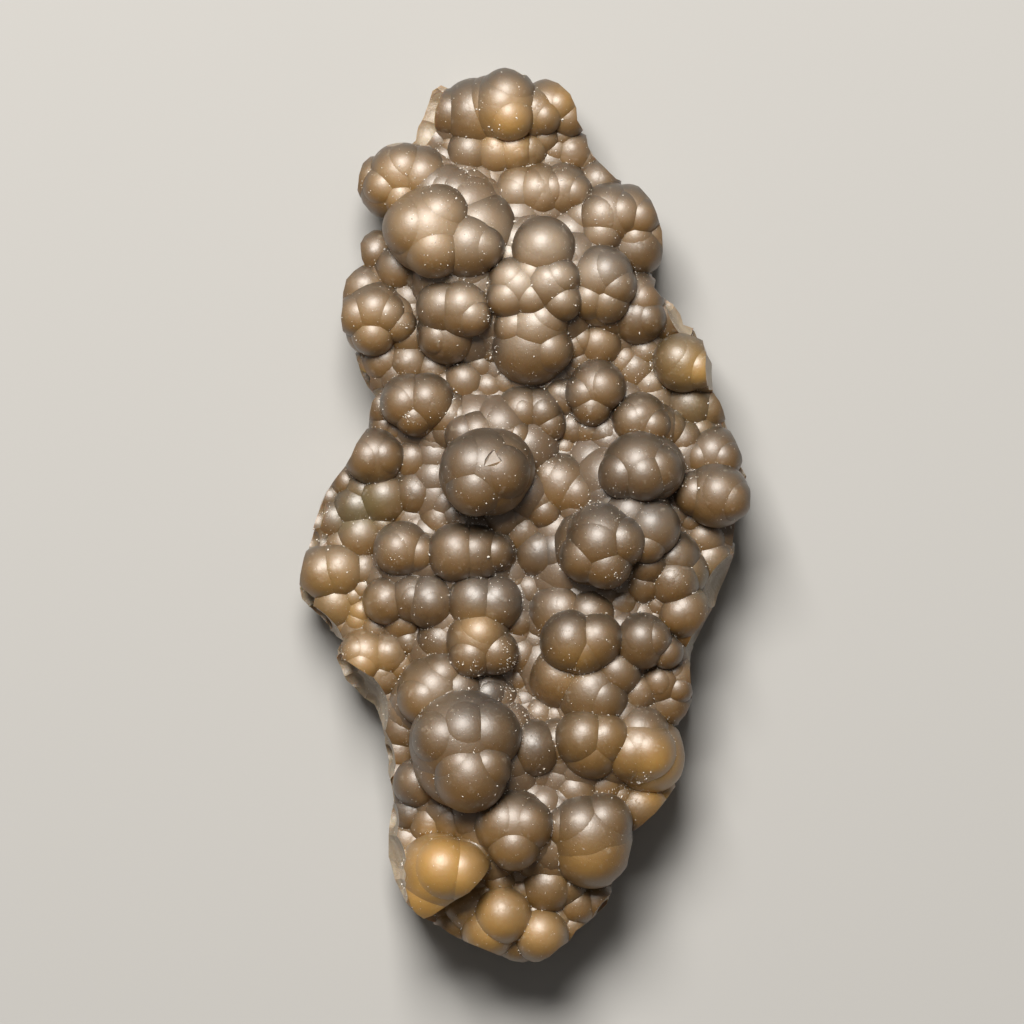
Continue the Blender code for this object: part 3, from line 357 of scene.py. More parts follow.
def unit_ball(level):
    bm = bmesh.new()
    bmesh.ops.create_icosphere(bm, subdivisions=level, radius=1.0)
    co = np.array([v.co[:] for v in bm.verts])
    tri = np.array([[v.index for v in f.verts] for f in bm.faces])
    bm.free()
    return co, tri


BALLS = {level: unit_ball(level) for level in (2, 3, 4, 5)}
RIM_A = np.array(RIM, float)
RIM_B = np.roll(RIM_A, 1, axis=0)


def rim_distance(x, y):
    """Signed distance to the rim, positive inside, for arrays of points."""
    p = np.stack([np.atleast_1d(x), np.atleast_1d(y)], -1).astype(float)
    u = RIM_B - RIM_A
    t = ((p[:, None, :] - RIM_A) * u).sum(-1) / (u * u).sum(-1)
    t = np.clip(t, 0.0, 1.0)
    near = RIM_A + t[..., None] * u
    d = np.sqrt(((p[:, None, :] - near) ** 2).sum(-1)).min(1)
    ay, by, ax = RIM_A[:, 1], RIM_B[:, 1], RIM_A[:, 0]
    cross = (ay > p[:, 1:2]) != (by > p[:, 1:2])
    at = u[:, 0] * (p[:, 1:2] - ay) / np.where(u[:, 1] == 0, 1e-9, u[:, 1]) + ax
    inside = (cross & (p[:, 0:1] < at)).sum(1) % 2 == 1
    return np.where(inside, d, -d)


def crust_top(x, y):
    d = np.maximum(rim_distance(x, y), 0.0)
    return RIM_TOP + CRUST_RISE * (1.0 - np.exp(-d / CRUST_REACH))


def surface_at(x, y, balls):
    """Height of the highest ball over a point, and which ball that is."""
    q = balls[:, 2] ** 2 - (balls[:, 0] - x) ** 2 - (balls[:, 1] - y) ** 2
    top = np.where(q > 0.0, balls[:, 3] + np.sqrt(np.maximum(q, 0.0)), -1.0)
    k = int(top.argmax())
    return max(float(top[k]), float(crust_top(x, y)[0])), k


def capped(row):
    """Small nodules are low caps: larger, deeper set, with the same crest."""
    x, y, r, z = row
    swell = CAP_GROW * min(max((CAP_BELOW - r) / 13.0, 0.0), 1.0) * r
    return x - 0.07 * swell, y - 0.1 * swell, r + swell, z - swell


def place_facet(hx, hy, r, proud, balls, company):
    """Shallow lobe on the ball under (hx, hy), kept within that ball's outline."""
    top, k = surface_at(hx, hy, balls)
    x, y, big, _ = balls[k]
    proud += CROWD_LIFT * (big / 40.0) * min(company[k] - 1, 2) / 2.0
    away = math.hypot(hx - x + 0.07 * big, hy - y + 0.28 * big)
    fit = max(0.70 * big, big - 0.8 * away)
    if fit < r:
        proud *= 0.85
        r = fit
    return hx + 0.07 * r, hy + 0.28 * r, r, top + proud - 0.957 * r, k


def fill_level(x, y, balls):
    """Level that the hollow between the neighbouring nodules is grown up to."""
    d = np.hypot(balls[:, 0] - x, balls[:, 1] - y) - balls[:, 2]
    w = np.exp(-np.maximum(d, 0.0) / FILL_REACH) * (d < 3.0 * FILL_REACH)
    if w.sum() < 1e-6:
        return 0.0
    return float((w * (balls[:, 3] + FILL_SHARE * balls[:, 2])).sum() / w.sum())


def random_turn():
    q = rng.normal(size=4)
    q /= np.linalg.norm(q)
    w, x, y, z = q
    return np.array([
        [1 - 2 * (y * y + z * z), 2 * (x * y - z * w), 2 * (x * z + y * w)],
        [2 * (x * y + z * w), 1 - 2 * (x * x + z * z), 2 * (y * z - x * w)],
        [2 * (x * z - y * w), 2 * (y * z + x * w), 1 - 2 * (x * x + y * y)]])


def ripples(n, count, low, high):
    """Smooth random field over directions or points, roughly -1 to 1."""
    out = np.zeros(len(n))
    for _ in range(count):
        k = rng.normal(size=3)
        k *= rng.uniform(low, high) / np.linalg.norm(k)
        out += np.sin(n @ k + rng.uniform(0, 2 * math.pi))
    return out / math.sqrt(count)


def smooth_normals(co, tri):
    a, b, c = co[tri[:, 0]], co[tri[:, 1]], co[tri[:, 2]]
    fn = np.cross(b - a, c - a)
    vn = np.zeros_like(co)
    for k in range(3):
        np.add.at(vn, tri[:, k], fn)
    return vn / np.linalg.norm(vn, axis=1)[:, None]


def make_mesh(name, co, tri, home, pid, normals=None, flip=False):
    """Closed triangle mesh that carries its own identity and shading normals."""
    mesh = bpy.data.meshes.new(name)
    mesh.vertices.add(len(co))
    mesh.vertices.foreach_set("co", np.ascontiguousarray(co, dtype=np.float32).ravel())
    mesh.loops.add(3 * len(tri))
    mesh.loops.foreach_set("vertex_index", tri.astype(np.int32).ravel())
    mesh.polygons.add(len(tri))
    mesh.polygons.foreach_set("loop_start", np.arange(0, 3 * len(tri), 3, dtype=np.int32))
    mesh.update(calc_edges=True)
    face_id = mesh.attributes.new("pid", "INT", "FACE")
    face_id.data.foreach_set("value", np.full(len(tri), pid, dtype=np.int32))
    if normals is None:
        a, b, c = co[tri[:, 0]], co[tri[:, 1]], co[tri[:, 2]]
        fn = np.cross(b - a, c - a)
        fn /= np.maximum(np.linalg.norm(fn, axis=1), 1e-20)[:, None]
        corner = np.repeat(fn, 3, axis=0)
    else:
        corner = normals[tri.ravel()]
    if flip:
        corner = -corner
    nrm = mesh.attributes.new("nrm", "FLOAT_VECTOR", "CORNER")
    nrm.data.foreach_set("vector", corner.astype(np.float32).ravel())
    made = bpy.data.objects.new(name, mesh)
    home.objects.link(made)
    return made


def ball(name, x, y, r, z, home, pid, level, lump=0.012, squash=None, flip=False, fine=0.0):
    n, tri = BALLS[level]
    n = n @ random_turn().T
    swell = 1.0 + lump * ripples(n, 5, 1.5, 4.0)
    if fine:
        swell += fine * ripples(n, 8, 8.0, 16.0)
    co = n * swell[:, None]
    if squash is not None:
        co = co * np.array(squash)
    normals = smooth_normals(co, tri)
    co = co * (r * UNIT) + np.array(world(x, y, z))
    return make_mesh(name, co, tri, home, pid, normals, flip)


def combine(body, other, how):
    step = body.modifiers.new("combine", "BOOLEAN")
    step.operation = how
    step.solver = "MANIFOLD"
    if isinstance(other, bpy.types.Collection):
        step.operand_type = "COLLECTION"
        step.collection = other
    else:
        step.object = other
    bpy.context.view_layer.update()
    graph = bpy.context.evaluated_depsgraph_get()
    mesh = bpy.data.meshes.new_from_object(body.evaluated_get(graph))
    old = body.data
    body.modifiers.clear()
    body.data = mesh
    bpy.data.meshes.remove(old)


def main_body(mesh):
    """Leaves off bits that don't touch the piece."""
    count = len(mesh.vertices)
    edges = np.empty(2 * len(mesh.edges), dtype=np.int64)
    mesh.edges.foreach_get("vertices", edges)
    edges = edges.reshape(-1, 2)
    label = np.arange(count)
    while True:
        low = np.minimum(label[edges[:, 0]], label[edges[:, 1]])
        fresh = label.copy()
        np.minimum.at(fresh, edges[:, 0], low)
        np.minimum.at(fresh, edges[:, 1], low)
        fresh = fresh[fresh]
        fresh = fresh[fresh]
        if np.array_equal(fresh, label):
            break
        label = fresh
    names, sizes = np.unique(label, return_counts=True)
    keep = names[sizes.argmax()]
    if len(names) > 1:
        bm = bmesh.new()
        bm.from_mesh(mesh)
        bm.verts.ensure_lookup_table()
        bmesh.ops.delete(bm, geom=[bm.verts[i] for i in np.flatnonzero(label != keep)],
                         context="VERTS")
        bm.to_mesh(mesh)
        bm.free()


def walls(corners, levels, lean_in, grow=0.0):
    """Closed loft of rings with broken, uneven walls."""
    ring = []
    for (ax, ay), (bx, by) in zip(corners, corners[1:] + corners[:1]):
        steps = max(1, int(math.hypot(bx - ax, by - ay) / 4.0))
        for k in range(steps):
            ring.append((ax + (bx - ax) * k / steps, ay + (by - ay) * k / steps))
    ring = np.array(ring)
    span = np.roll(ring, -1, 0) - np.roll(ring, 1, 0)
    out = np.stack([-span[:, 1], span[:, 0]], 1)
    out /= np.linalg.norm(out, axis=1)[:, None]
    turn = (ring * np.roll(np.roll(ring, -1, 0), 1, 1) * (1, -1)).sum()
    if turn > 0:
        out = -out
    rows = []
    for z in levels:
        lean = min(max(z / RIM_TOP, 0.0), 1.0) if lean_in else 1.0
        sx = FOOT_X + (1.0 - FOOT_X) * lean
        sy = FOOT_Y + (1.0 - FOOT_Y) * lean
        rows.append(np.column_stack([MID_X + (ring[:, 0] - MID_X) * sx,
                                     MID_Y + (ring[:, 1] - MID_Y) * sy, np.full(len(ring), z)]))
    pts = np.concatenate(rows)
    rough = 1.6 * ripples(pts * 0.05, 6, 0.6, 1.6) + 0.7 * ripples(pts * 0.2, 8, 0.6, 1.6)
    rough *= np.where(pts[:, 2] < 49.0, 1.0, 0.35)
    pts[:, :2] += np.tile(out, (len(levels), 1)) * (rough + grow)[:, None]
    co = np.column_stack([(pts[:, 0] - MID_X) * UNIT, (MID_Y - pts[:, 1]) * UNIT, pts[:, 2] * UNIT])
    n = len(ring)
    bm = bmesh.new()
    vs = [bm.verts.new(c) for c in co]
    for a in range(len(levels) - 1):
        for i in range(n):
            j = (i + 1) % n
            p0, p1, p2, p3 = a * n + i, a * n + j, (a + 1) * n + j, (a + 1) * n + i
            bm.faces.new((vs[p0], vs[p1], vs[p2]))
            bm.faces.new((vs[p0], vs[p2], vs[p3]))
    bm.faces.new(vs[:n])
    bm.faces.new(vs[-n:])
    bmesh.ops.triangulate(bm, faces=bm.faces)
    bmesh.ops.recalc_face_normals(bm, faces=bm.faces)
    bm.verts.index_update()
    co = np.array([v.co[:] for v in bm.verts])
    tri = np.array([[v.index for v in f.verts] for f in bm.faces])
    bm.free()
    return make_mesh("walls", co, tri, work, PID_WALL)


# ------------------------------------------------------------ the grown stone
work = collection("growth")
PID_SLAB, PID_WALL, PID_SCOOP, PID_BREAK, PID_NICK, PID_LOBE = 0, 1, 2, 3, 4, 5
PID_CHIP, PID_DOME, PID_FILL, PID_BALL = 10, 100, 10000, 20000

# slab under everything
low, high = world(270.0, 990.0, -12.0), world(780.0, 40.0, RIM_TOP)
bm = bmesh.new()
bmesh.ops.create_cube(bm, size=1.0)
bmesh.ops.triangulate(bm, faces=bm.faces)
place = Matrix.Translation(0.5 * (low + high)) @ Matrix.Diagonal((*(high - low), 1.0))
bmesh.ops.transform(bm, verts=bm.verts, matrix=place)
co = np.array([v.co[:] for v in bm.verts])
tri = np.array([[v.index for v in f.verts] for f in bm.faces])
bm.free()
stone = make_mesh("chalcedony_stone", co, tri, work, PID_SLAB)

# low domes that floor the hollows, in a loose honeycomb
domes = collection("domes")
pitch = 17.0
px, py = [], []
row = 0
y = 62.0
while y < 975.0:
    x = 290.0 + (0.5 * pitch if row % 2 else 0.0)
    while x < 760.0:
        px.append(x + rng.uniform(-6.0, 6.0))
        py.append(y + rng.uniform(-6.0, 6.0))
        x += pitch
    y += 0.87 * pitch
    row += 1
px, py = np.array(px), np.array(py)
inside = rim_distance(px, py)
px, py, inside = px[inside > 3.0], py[inside > 3.0], inside[inside > 3.0]
tops = crust_top(px, py)
for i, (x, y, top, d) in enumerate(zip(px, py, tops, inside)):
    r = rng.uniform(24.0, 38.0)
    top += rng.uniform(-5.0, 3.5)
    ball("dome", x, y, r, top - r, domes, PID_DOME + i, 3, lump=0.015)

# smaller nodules that fill the hollows between the listed ones
table = np.array([capped(row) for row in NODULES], float)
pitch, row, y, count = 14.0, 0, 66.0, 0
while y < 965.0:
    x = 296.0 + (0.5 * pitch if row % 2 else 0.0)
    while x < 752.0:
        ax, ay = x + rng.uniform(-5.0, 5.0), y + rng.uniform(-5.0, 5.0)
        r, drop = rng.uniform(20.0, 38.0), rng.uniform(0.0, 8.0)
        d = float(rim_distance(ax, ay)[0])
        if d > 5.0:
            top = min(fill_level(ax, ay, table) - drop, RIM_TOP + 14.0 + 1.7 * d)
            if top > crust_top(ax, ay)[0] and surface_at(ax, ay, table)[0] < top + 16.0:
                ball("filler", ax, ay, r, top - r, domes, PID_FILL + count, 3)
                count += 1
        x += pitch
    y += 0.87 * pitch
    row += 1
combine(stone, domes, "UNION")
discard(domes)

# trim to the rim: walls lean in towards the underside and are rough
trim = walls(RIM, [0.0, 4.0, 12.0, 22.0, 32.0, 42.0, 50.0, 60.0, 75.0, 150.0], True)
combine(stone, trim, "INTERSECT")

# scoops struck out of the rim
scoops = collection("scoops")
for x, y, r, z in SCOOPS:
    ball("scoop", x, y, r, z, scoops, PID_SCOOP, 4, lump=0.02, fine=0.006, flip=True)
combine(stone, scoops, "DIFFERENCE")
discard(scoops)

# the nodules, then the facets on them
grown = collection("nodules")
for i, (x, y, r, z) in enumerate(table.tolist()):
    ball("nodule", x, y, r, z, grown, PID_BALL + i, 5 if r >= 50 else 4 if r >= 22 else 3,
         lump=0.008)
    top = crust_top(x, y)[0]
    while z - ROOT_GAP * r > top:
        r *= ROOT_SHRINK
        z -= 0.75 * r
        ball("root", x, y, r, z, grown, PID_BALL + i, 4 if r >= 25 else 3)
company = np.zeros(len(table), int)
for hx, hy, _, _ in FACETS:
    company[surface_at(hx, hy, table)[1]] += 1
for hx, hy, r, proud in FACETS:
    x, y, r, z, parent = place_facet(hx, hy, r, proud, table, company)
    ball("facet", x, y, r, z, grown, PID_BALL + parent, 5 if r >= 46 else 4, lump=0.003)
for i, (x, y, big, z) in enumerate(table.tolist()):
    if big < 19.0 or company[i] > 2:
        continue
    for _ in range(rng.integers(2, 4)):
        lean_x, lean_y = rng.uniform(-0.55, 0.55, 2)
        r = rng.uniform(0.74, 0.90) * big
        step = (big - r + rng.uniform(0.2, 0.7)) / math.sqrt(lean_x ** 2 + lean_y ** 2 + 1.0)
        ball("facet", x + lean_x * step, y + lean_y * step, r, z + step, grown, PID_BALL + i,
             4 if big >= 34 else 3, lump=0.003)
combine(stone, grown, "UNION")
discard(grown)
outer = walls(OUTLINE, [-20.0, 0.0, 20.0, 40.0, 60.0, 80.0, 100.0, 120.0, 260.0], False, 0.5)
combine(stone, outer, "INTERSECT")

# chipped rim, the flat break on the right, and a nick on the great ball
breaks = collection("breaks")
for i, (x, y, r, level, _) in enumerate(CHIPS):
    ball("chip", x, y, r, level + r, breaks, PID_CHIP + i, 4, lump=0.03, fine=0.012, flip=True)
for i, (x, y, r, z, _) in enumerate(BREAKS):
    ball("split", x, y, r, z, breaks, PID_CHIP + len(CHIPS) + i, 5, lump=0.02, fine=0.006,
         flip=True)
cover = BVHTree.FromObject(stone, bpy.context.evaluated_depsgraph_get())
pit = []
for x, y, deep in NICK:
    hit = cover.ray_cast(world(x, y, 400.0), Vector((0.0, 0.0, -1.0)))[0]
    pit.append(hit - Vector((0.0, 0.0, deep * UNIT)))
pit += [corner + Vector((0.0, 0.0, 0.004)) for corner in pit]
count = len(NICK)
pit_tri = [(0, k, k + 1) for k in range(1, count - 1)]
pit_tri += [(count, count + k + 1, count + k) for k in range(1, count - 1)]
for k in range(count):
    j = (k + 1) % count
    pit_tri += [(k, count + k, count + j), (k, count + j, j)]
bm = bmesh.new()
vs = [bm.verts.new(v) for v in pit]
for face in pit_tri:
    bm.faces.new([vs[k] for k in face])
bmesh.ops.recalc_face_normals(bm, faces=bm.faces)
pit_tri = np.array([[v.index for v in f.verts] for f in bm.faces])
bm.verts.index_update()
pit_tri = np.array([[v.index for v in f.verts] for f in bm.faces])
bm.free()
make_mesh("nick", np.array([v[:] for v in pit]), pit_tri, breaks, PID_NICK)
for made in breaks.objects:
    if made.name.startswith("nick"):
        flat = made.data.attributes["nrm"].data
        values = np.empty(3 * len(made.data.loops))
        flat.foreach_get("vector", values)
        flat.foreach_set("vector", -values)
bm = bmesh.new()
bmesh.ops.create_cube(bm, size=1.0)
bmesh.ops.subdivide_edges(bm, edges=bm.edges, cuts=15, use_grid_fill=True)
bmesh.ops.triangulate(bm, faces=bm.faces)
block = np.array([v.co[:] for v in bm.verts])
block_tri = np.array([[v.index for v in f.verts] for f in bm.faces])
bm.free()
block = block * np.array((56.0, 60.0, 120.0))
block[:, 0] += 1.6 * ripples(block * 0.05, 6, 0.8, 2.0) + 0.5 * ripples(block * 0.3, 8, 0.6, 1.6)
c, s = math.cos(-0.10), math.sin(-0.10)
block = np.column_stack([block[:, 0] * c + block[:, 2] * s, block[:, 1],
                         -block[:, 0] * s + block[:, 2] * c])
block = block * UNIT + np.array(world(738, 360, 110))
make_mesh("break", block, block_tri, breaks, PID_BREAK, smooth_normals(block, block_tri),
          flip=True)
combine(stone, breaks, "DIFFERENCE")
discard(breaks)

# the broken-off lobe
parts = collection("lobe")
first = ball("lobe", *LOBE[0], work, PID_LOBE, 5, lump=0.008)
for x, y, r, z in LOBE[1:]:
    ball("lobe", x, y, r, z, parts, PID_LOBE, 5, lump=0.006)
combine(first, parts, "UNION")
discard(parts)
edge = walls(LOBE_EDGE, [70.0, 90.0, 105.0, 120.0, 135.0, 150.0, 165.0, 240.0], False, 0.0)
combine(first, edge, "INTERSECT")
combine(stone, first, "UNION")

mesh = stone.data
main_body(mesh)
print("stone faces", len(mesh.polygons))

# put it where the CAD solid is
co = np.empty(3 * len(mesh.vertices))
mesh.vertices.foreach_get("co", co)
co = co.reshape(-1, 3)
lo, hi = co.min(0), co.max(0)
cad_lo, cad_hi = np.array(cad_box[0]), np.array(cad_box[1])
shift = 0.5 * (cad_lo + cad_hi) - 0.5 * (lo + hi)
shift[2] = cad_lo[2] - lo[2]
co += shift
mesh.vertices.foreach_set("co", co.ravel())
print("shift mm", shift * 1000, "size mm", (hi - lo) * 1000)

# shading normals: each nodule shades as the round body it is
loops = len(mesh.loops)
nrm = np.empty(3 * loops)
mesh.attributes["nrm"].data.foreach_get("vector", nrm)
nrm = nrm.reshape(-1, 3)
nrm /= np.maximum(np.linalg.norm(nrm, axis=1), 1e-9)[:, None]
mesh.polygons.foreach_set("use_smooth", np.ones(len(mesh.polygons), dtype=bool))
mesh.normals_split_custom_set(nrm.tolist())

# what the material reads: tone of each lobe, broken surface, colour leanings with painted glow in the
# honey, and paleness with painted light
pid = np.empty(len(mesh.polygons), dtype=np.int32)
mesh.attributes["pid"].data.foreach_get("value", pid)
tones = rng.random(int(pid.max()) + 1)
tone = mesh.attributes.new("lobe_tone", "FLOAT", "FACE")
tone.data.foreach_set("value", tones[pid].astype(np.float32))
broken = mesh.attributes.new("broken", "FLOAT", "FACE")
cut = np.where(pid < PID_NICK, 0.7, np.where(pid == PID_NICK, 0.06, 0.0))
cut[pid == PID_SCOOP] = 0.3
pale = np.array([row[4] for row in CHIPS + BREAKS])
chipped = (pid >= PID_CHIP) & (pid < PID_DOME)
cut[chipped] = pale[pid[chipped] - PID_CHIP]
broken.data.foreach_set("value", cut.astype(np.float32))
hollow = mesh.attributes.new("hollow", "FLOAT", "FACE")
hollow.data.foreach_set("value", ((pid >= PID_DOME) & (pid < PID_BALL)).astype(np.float32))
print("stone faces", len(mesh.polygons))
lx = MID_X + (co[:, 0] - shift[0]) / UNIT
ly = MID_Y - (co[:, 1] - shift[1]) / UNIT
lean = np.zeros((len(co), 3))
for x, y, reach, honey_and_glow, olive, grey in LEANINGS:
    w = np.exp(-((lx - x) ** 2 + (ly - y) ** 2) / (2.0 * (0.62 * reach) ** 2))
    lean += w[:, None] * np.array([honey_and_glow, olive, grey])
lean = np.clip(lean, 0.0, 1.6)
for k, name in enumerate(("honey_and_glow", "olive", "grey")):
    layer = mesh.attributes.new(name, "FLOAT", "POINT")
    layer.data.foreach_set("value", lean[:, k].astype(np.float32))
# paleness: the stone's own milkiness, partly painted light over the upper middle
milk_and_light = np.zeros(len(co))
for x, y, reach, much in MILKY_AND_LIT:
    milk_and_light += much * np.exp(-((lx - x) ** 2 + (ly - y) ** 2) / (2.0 * (0.62 * reach) ** 2))
layer = mesh.attributes.new("pale", "FLOAT", "POINT")
layer.data.foreach_set("value", np.clip(milk_and_light, 0.0, 1.2).astype(np.float32))
for name in ("nrm", "pid"):
    mesh.attributes.remove(mesh.attributes[name])

work.objects.unlink(stone)
bpy.context.scene.collection.objects.link(stone)
discard(work)


# ------------------------------------------------- grains caught on the surface
# Clusters: (x, y, reach, how many).
CLUSTERS = [
    (575, 675, 9, 34), (510, 690, 8, 40), (640, 785, 12, 34), (622, 791, 8, 22),
    (408, 420, 6, 24), (323, 515, 9, 22), (325, 538, 9, 22), (510, 665, 9, 40),
    (505, 645, 7, 16), (514, 705, 5, 14), (345, 655, 8, 14), (476, 670, 10, 26),
    (455, 668, 8, 18), (470, 178, 12, 22), (480, 520, 14, 26), (590, 500, 22, 30),
    (560, 458, 18, 34), (430, 635, 10, 20), (500, 575, 12, 22), (492, 350, 10, 20),
    (487, 320, 6, 16), (404, 325, 5, 10), (620, 575, 14, 26), (560, 165, 16, 18),
    (455, 195, 14, 16), (575, 420, 16, 18), (640, 370, 22, 30), (690, 480, 14, 14),
    (525, 715, 10, 16), (545, 770, 12, 14), (370, 545, 20, 20), (395, 560, 12, 12),
    (440, 410, 16, 14), (530, 440, 16, 18), (460, 745, 40, 26), (445, 230, 50, 46),
    (600, 220, 40, 34), (500, 110, 40, 34), (540, 310, 50, 40), (480, 470, 40, 26),
    (400, 185, 30, 26), (375, 320, 30, 24), (600, 540, 40, 28),
]


def shard():
    """Irregular closed splinter with eight faces."""
    p = np.array([(1, 0, 0), (-1, 0, 0), (0, 1, 0), (0, -1, 0), (0, 0, 1), (0, 0, -1)], float)
    p *= rng.uniform(0.55, 1.25, (6, 1))
    p *= np.array([rng.uniform(0.8, 1.6), rng.uniform(0.6, 1.0), rng.uniform(0.4, 0.8)])
    return p @ random_turn().T


SHARD_FACES = np.array([(0, 2, 4), (2, 1, 4), (1, 3, 4), (3, 0, 4),
                        (2, 0, 5), (1, 2, 5), (3, 1, 5), (0, 3, 5)])
spots = []
while len(spots) < 2600:
    x, y = rng.uniform(300.0, 750.0), rng.uniform(68.0, 960.0)
    if rim_distance(x, y)[0] > -3.0:
        spots.append((x, y, 0.36 * rng.lognormal(0.0, 0.42)))
for x, y, reach, many in CLUSTERS:
    for _ in range(many):
        spots.append((rng.normal(x, 0.6 * reach), rng.normal(y, 0.6 * reach),
                      0.62 * rng.lognormal(0.0, 0.42)))
tree = BVHTree.FromPolygons(co.tolist(), [p.vertices[:] for p in mesh.polygons])


def height(x, y):
    hit = tree.ray_cast(Vector(((x - MID_X) * UNIT + shift[0], (MID_Y - y) * UNIT + shift[1],
                                0.05)), Vector((0.0, 0.0, -1.0)))[0]
    return hit.z / UNIT if hit else 0.0


tried, lodged = 0, 0
while lodged < 2600 and tried < 40000 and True:
    tried += 1
    x, y = rng.uniform(300.0, 750.0), rng.uniform(68.0, 960.0)
    here = height(x, y)
    if here > 60.0:
        beside = [height(x + dx, y + dy) for dx, dy in ((3, 0), (-3, 0), (0, 3), (0, -3))]
        if sum(beside) / 4.0 - here > 0.9:
            spots.append((x, y, 0.52 * rng.lognormal(0.0, 0.42)))
            lodged += 1
print("lodged grains", lodged, tried)
points, faces = [], []
for x, y, size in spots:
    start = Vector(((x - MID_X) * UNIT + shift[0], (MID_Y - y) * UNIT + shift[1], 0.05))
    hit, normal, _, _ = tree.ray_cast(start, Vector((0.0, 0.0, -1.0)))
    if hit is None or hit.z < 0.004 or normal.z < 0.15:
        continue
    size = min(size, 1.9) * UNIT
    if hit.z + size > cad_box[1][2]:
        continue
    faces.append(SHARD_FACES + 6 * len(points))
    points.append(shard() * size + np.array(hit + 0.25 * size * normal))
dust = bpy.data.meshes.new("chalcedony_grains")
grain_co, grain_tri = np.concatenate(points), np.concatenate(faces)
dust.from_pydata(grain_co.tolist(), [], grain_tri.tolist())
dust.update()
grains = bpy.data.objects.new("chalcedony_grains", dust)
bpy.context.scene.collection.objects.link(grains)


# ------------------------------------------------------------------ materials
class Nodes:
    """Small helper that adds nodes left to right and links by socket."""

    def __init__(self, material):
        material.use_nodes = True
        self.tree = material.node_tree
        self.shader = self.tree.nodes["Principled BSDF"]
        self.count = 0

    def add(self, kind, **settings):
        node = self.tree.nodes.new(kind)
        node.location = (-1800 + 60 * self.count, 300 - 40 * (self.count % 12))
        self.count += 1
        for key, value in settings.items():
            setattr(node, key, value)
        return node

    def link(self, a, b):
        self.tree.links.new(a, b)

    def put(self, socket, value):
        if isinstance(value, bpy.types.NodeSocket):
            self.link(value, socket)
        else:
            socket.default_value = value

    def attr(self, name):
        return self.add("ShaderNodeAttribute", attribute_name=name).outputs["Fac"]

    def math(self, how, a, b=0.0, c=None, clamp=False):
        node = self.add("ShaderNodeMath", operation=how, use_clamp=clamp)
        self.put(node.inputs[0], a)
        self.put(node.inputs[1], b)
        if c is not None:
            self.put(node.inputs[2], c)
        return node.outputs[0]

    def noise(self, where, scale, detail=2.0, rough=0.5, distortion=0.0):
        node = self.add("ShaderNodeTexNoise")
        self.put(node.inputs["Vector"], where)
        node.inputs["Scale"].default_value = scale
        node.inputs["Detail"].default_value = detail
        node.inputs["Roughness"].default_value = rough
        node.inputs["Distortion"].default_value = distortion
        return node.outputs["Fac"]

    def span(self, value, low, high, to_low=0.0, to_high=1.0, smooth=False):
        node = self.add("ShaderNodeMapRange", clamp=True)
        if smooth:
            node.interpolation_type = "SMOOTHSTEP"
        self.put(node.inputs[0], value)
        for k, v in zip(range(1, 5), (low, high, to_low, to_high)):
            self.put(node.inputs[k], v)
        return node.outputs[0]

    def mix(self, fac, a, b, how="MIX"):
        node = self.add("ShaderNodeMix", data_type="RGBA", blend_type=how)
        self.put(node.inputs[0], fac)
        self.put(node.inputs[6], a)
        self.put(node.inputs[7], b)
        return node.outputs[2]


silica = bpy.data.materials.new("chalcedony_grown")
nd = Nodes(silica)
where = nd.add("ShaderNodeTexCoord").outputs["Object"]
facing = nd.add("ShaderNodeSeparateXYZ")
nd.link(nd.add("ShaderNodeTexCoord").outputs["Normal"], facing.inputs[0])
up = facing.outputs["Z"]
along = facing.outputs["Y"]

cloud = nd.noise(where, 160.0, 3.0, 0.55)
fleck = nd.noise(where, 900.0, 2.0, 0.6)
grain = nd.noise(where, 3800.0, 2.0, 0.6)
frost = nd.noise(where, 7500.0, 1.0, 0.5)

shaded_flank = (0.046, 0.024, 0.006, 1.0)
crest = (0.146, 0.083, 0.030, 1.0)
bright = (0.310, 0.228, 0.150, 1.0)
glow_amber = (0.180, 0.086, 0.012, 1.0)
olive = (0.140, 0.104, 0.034, 1.0)
steel = (0.078, 0.066, 0.056, 1.0)
honey_and_glow = (0.450, 0.245, 0.052, 1.0)
shadow = (0.052, 0.037, 0.022, 1.0)
rosy = (0.134, 0.090, 0.056, 1.0)

# painted light and shade: crests that face up are coloured lighter and steep flanks darker, standing
# in for light falling off towards each nodule's edge
lit_crown = nd.span(up, 0.38, 0.98, 0.0, 1.0, True)
# crests go paler where the stone is milky and where brighter light is painted on
crest_milk_and_light = nd.mix(nd.math("MULTIPLY", nd.attr("pale"), 0.8, clamp=True), crest, bright)
base = nd.mix(lit_crown, shaded_flank, crest_milk_and_light)
# painted glow: sides that face down the piece, away from the lamp, are coloured amber as if lit
# through from within
painted_glow = nd.span(along, 0.10, -0.70, 0.0, 0.85, True)
base = nd.mix(painted_glow, base, glow_amber)
shade = nd.span(along, 0.25, 0.85, 0.0, 0.55, True)
base = nd.mix(shade, base, shadow)
base = nd.mix(nd.math("MULTIPLY", nd.attr("hollow"), 0.5), base, rosy)
base = nd.mix(nd.math("MULTIPLY", nd.attr("olive"), 0.6, clamp=True), base, olive)
base = nd.mix(nd.math("MULTIPLY", nd.attr("grey"), 0.55, clamp=True), base, steel)
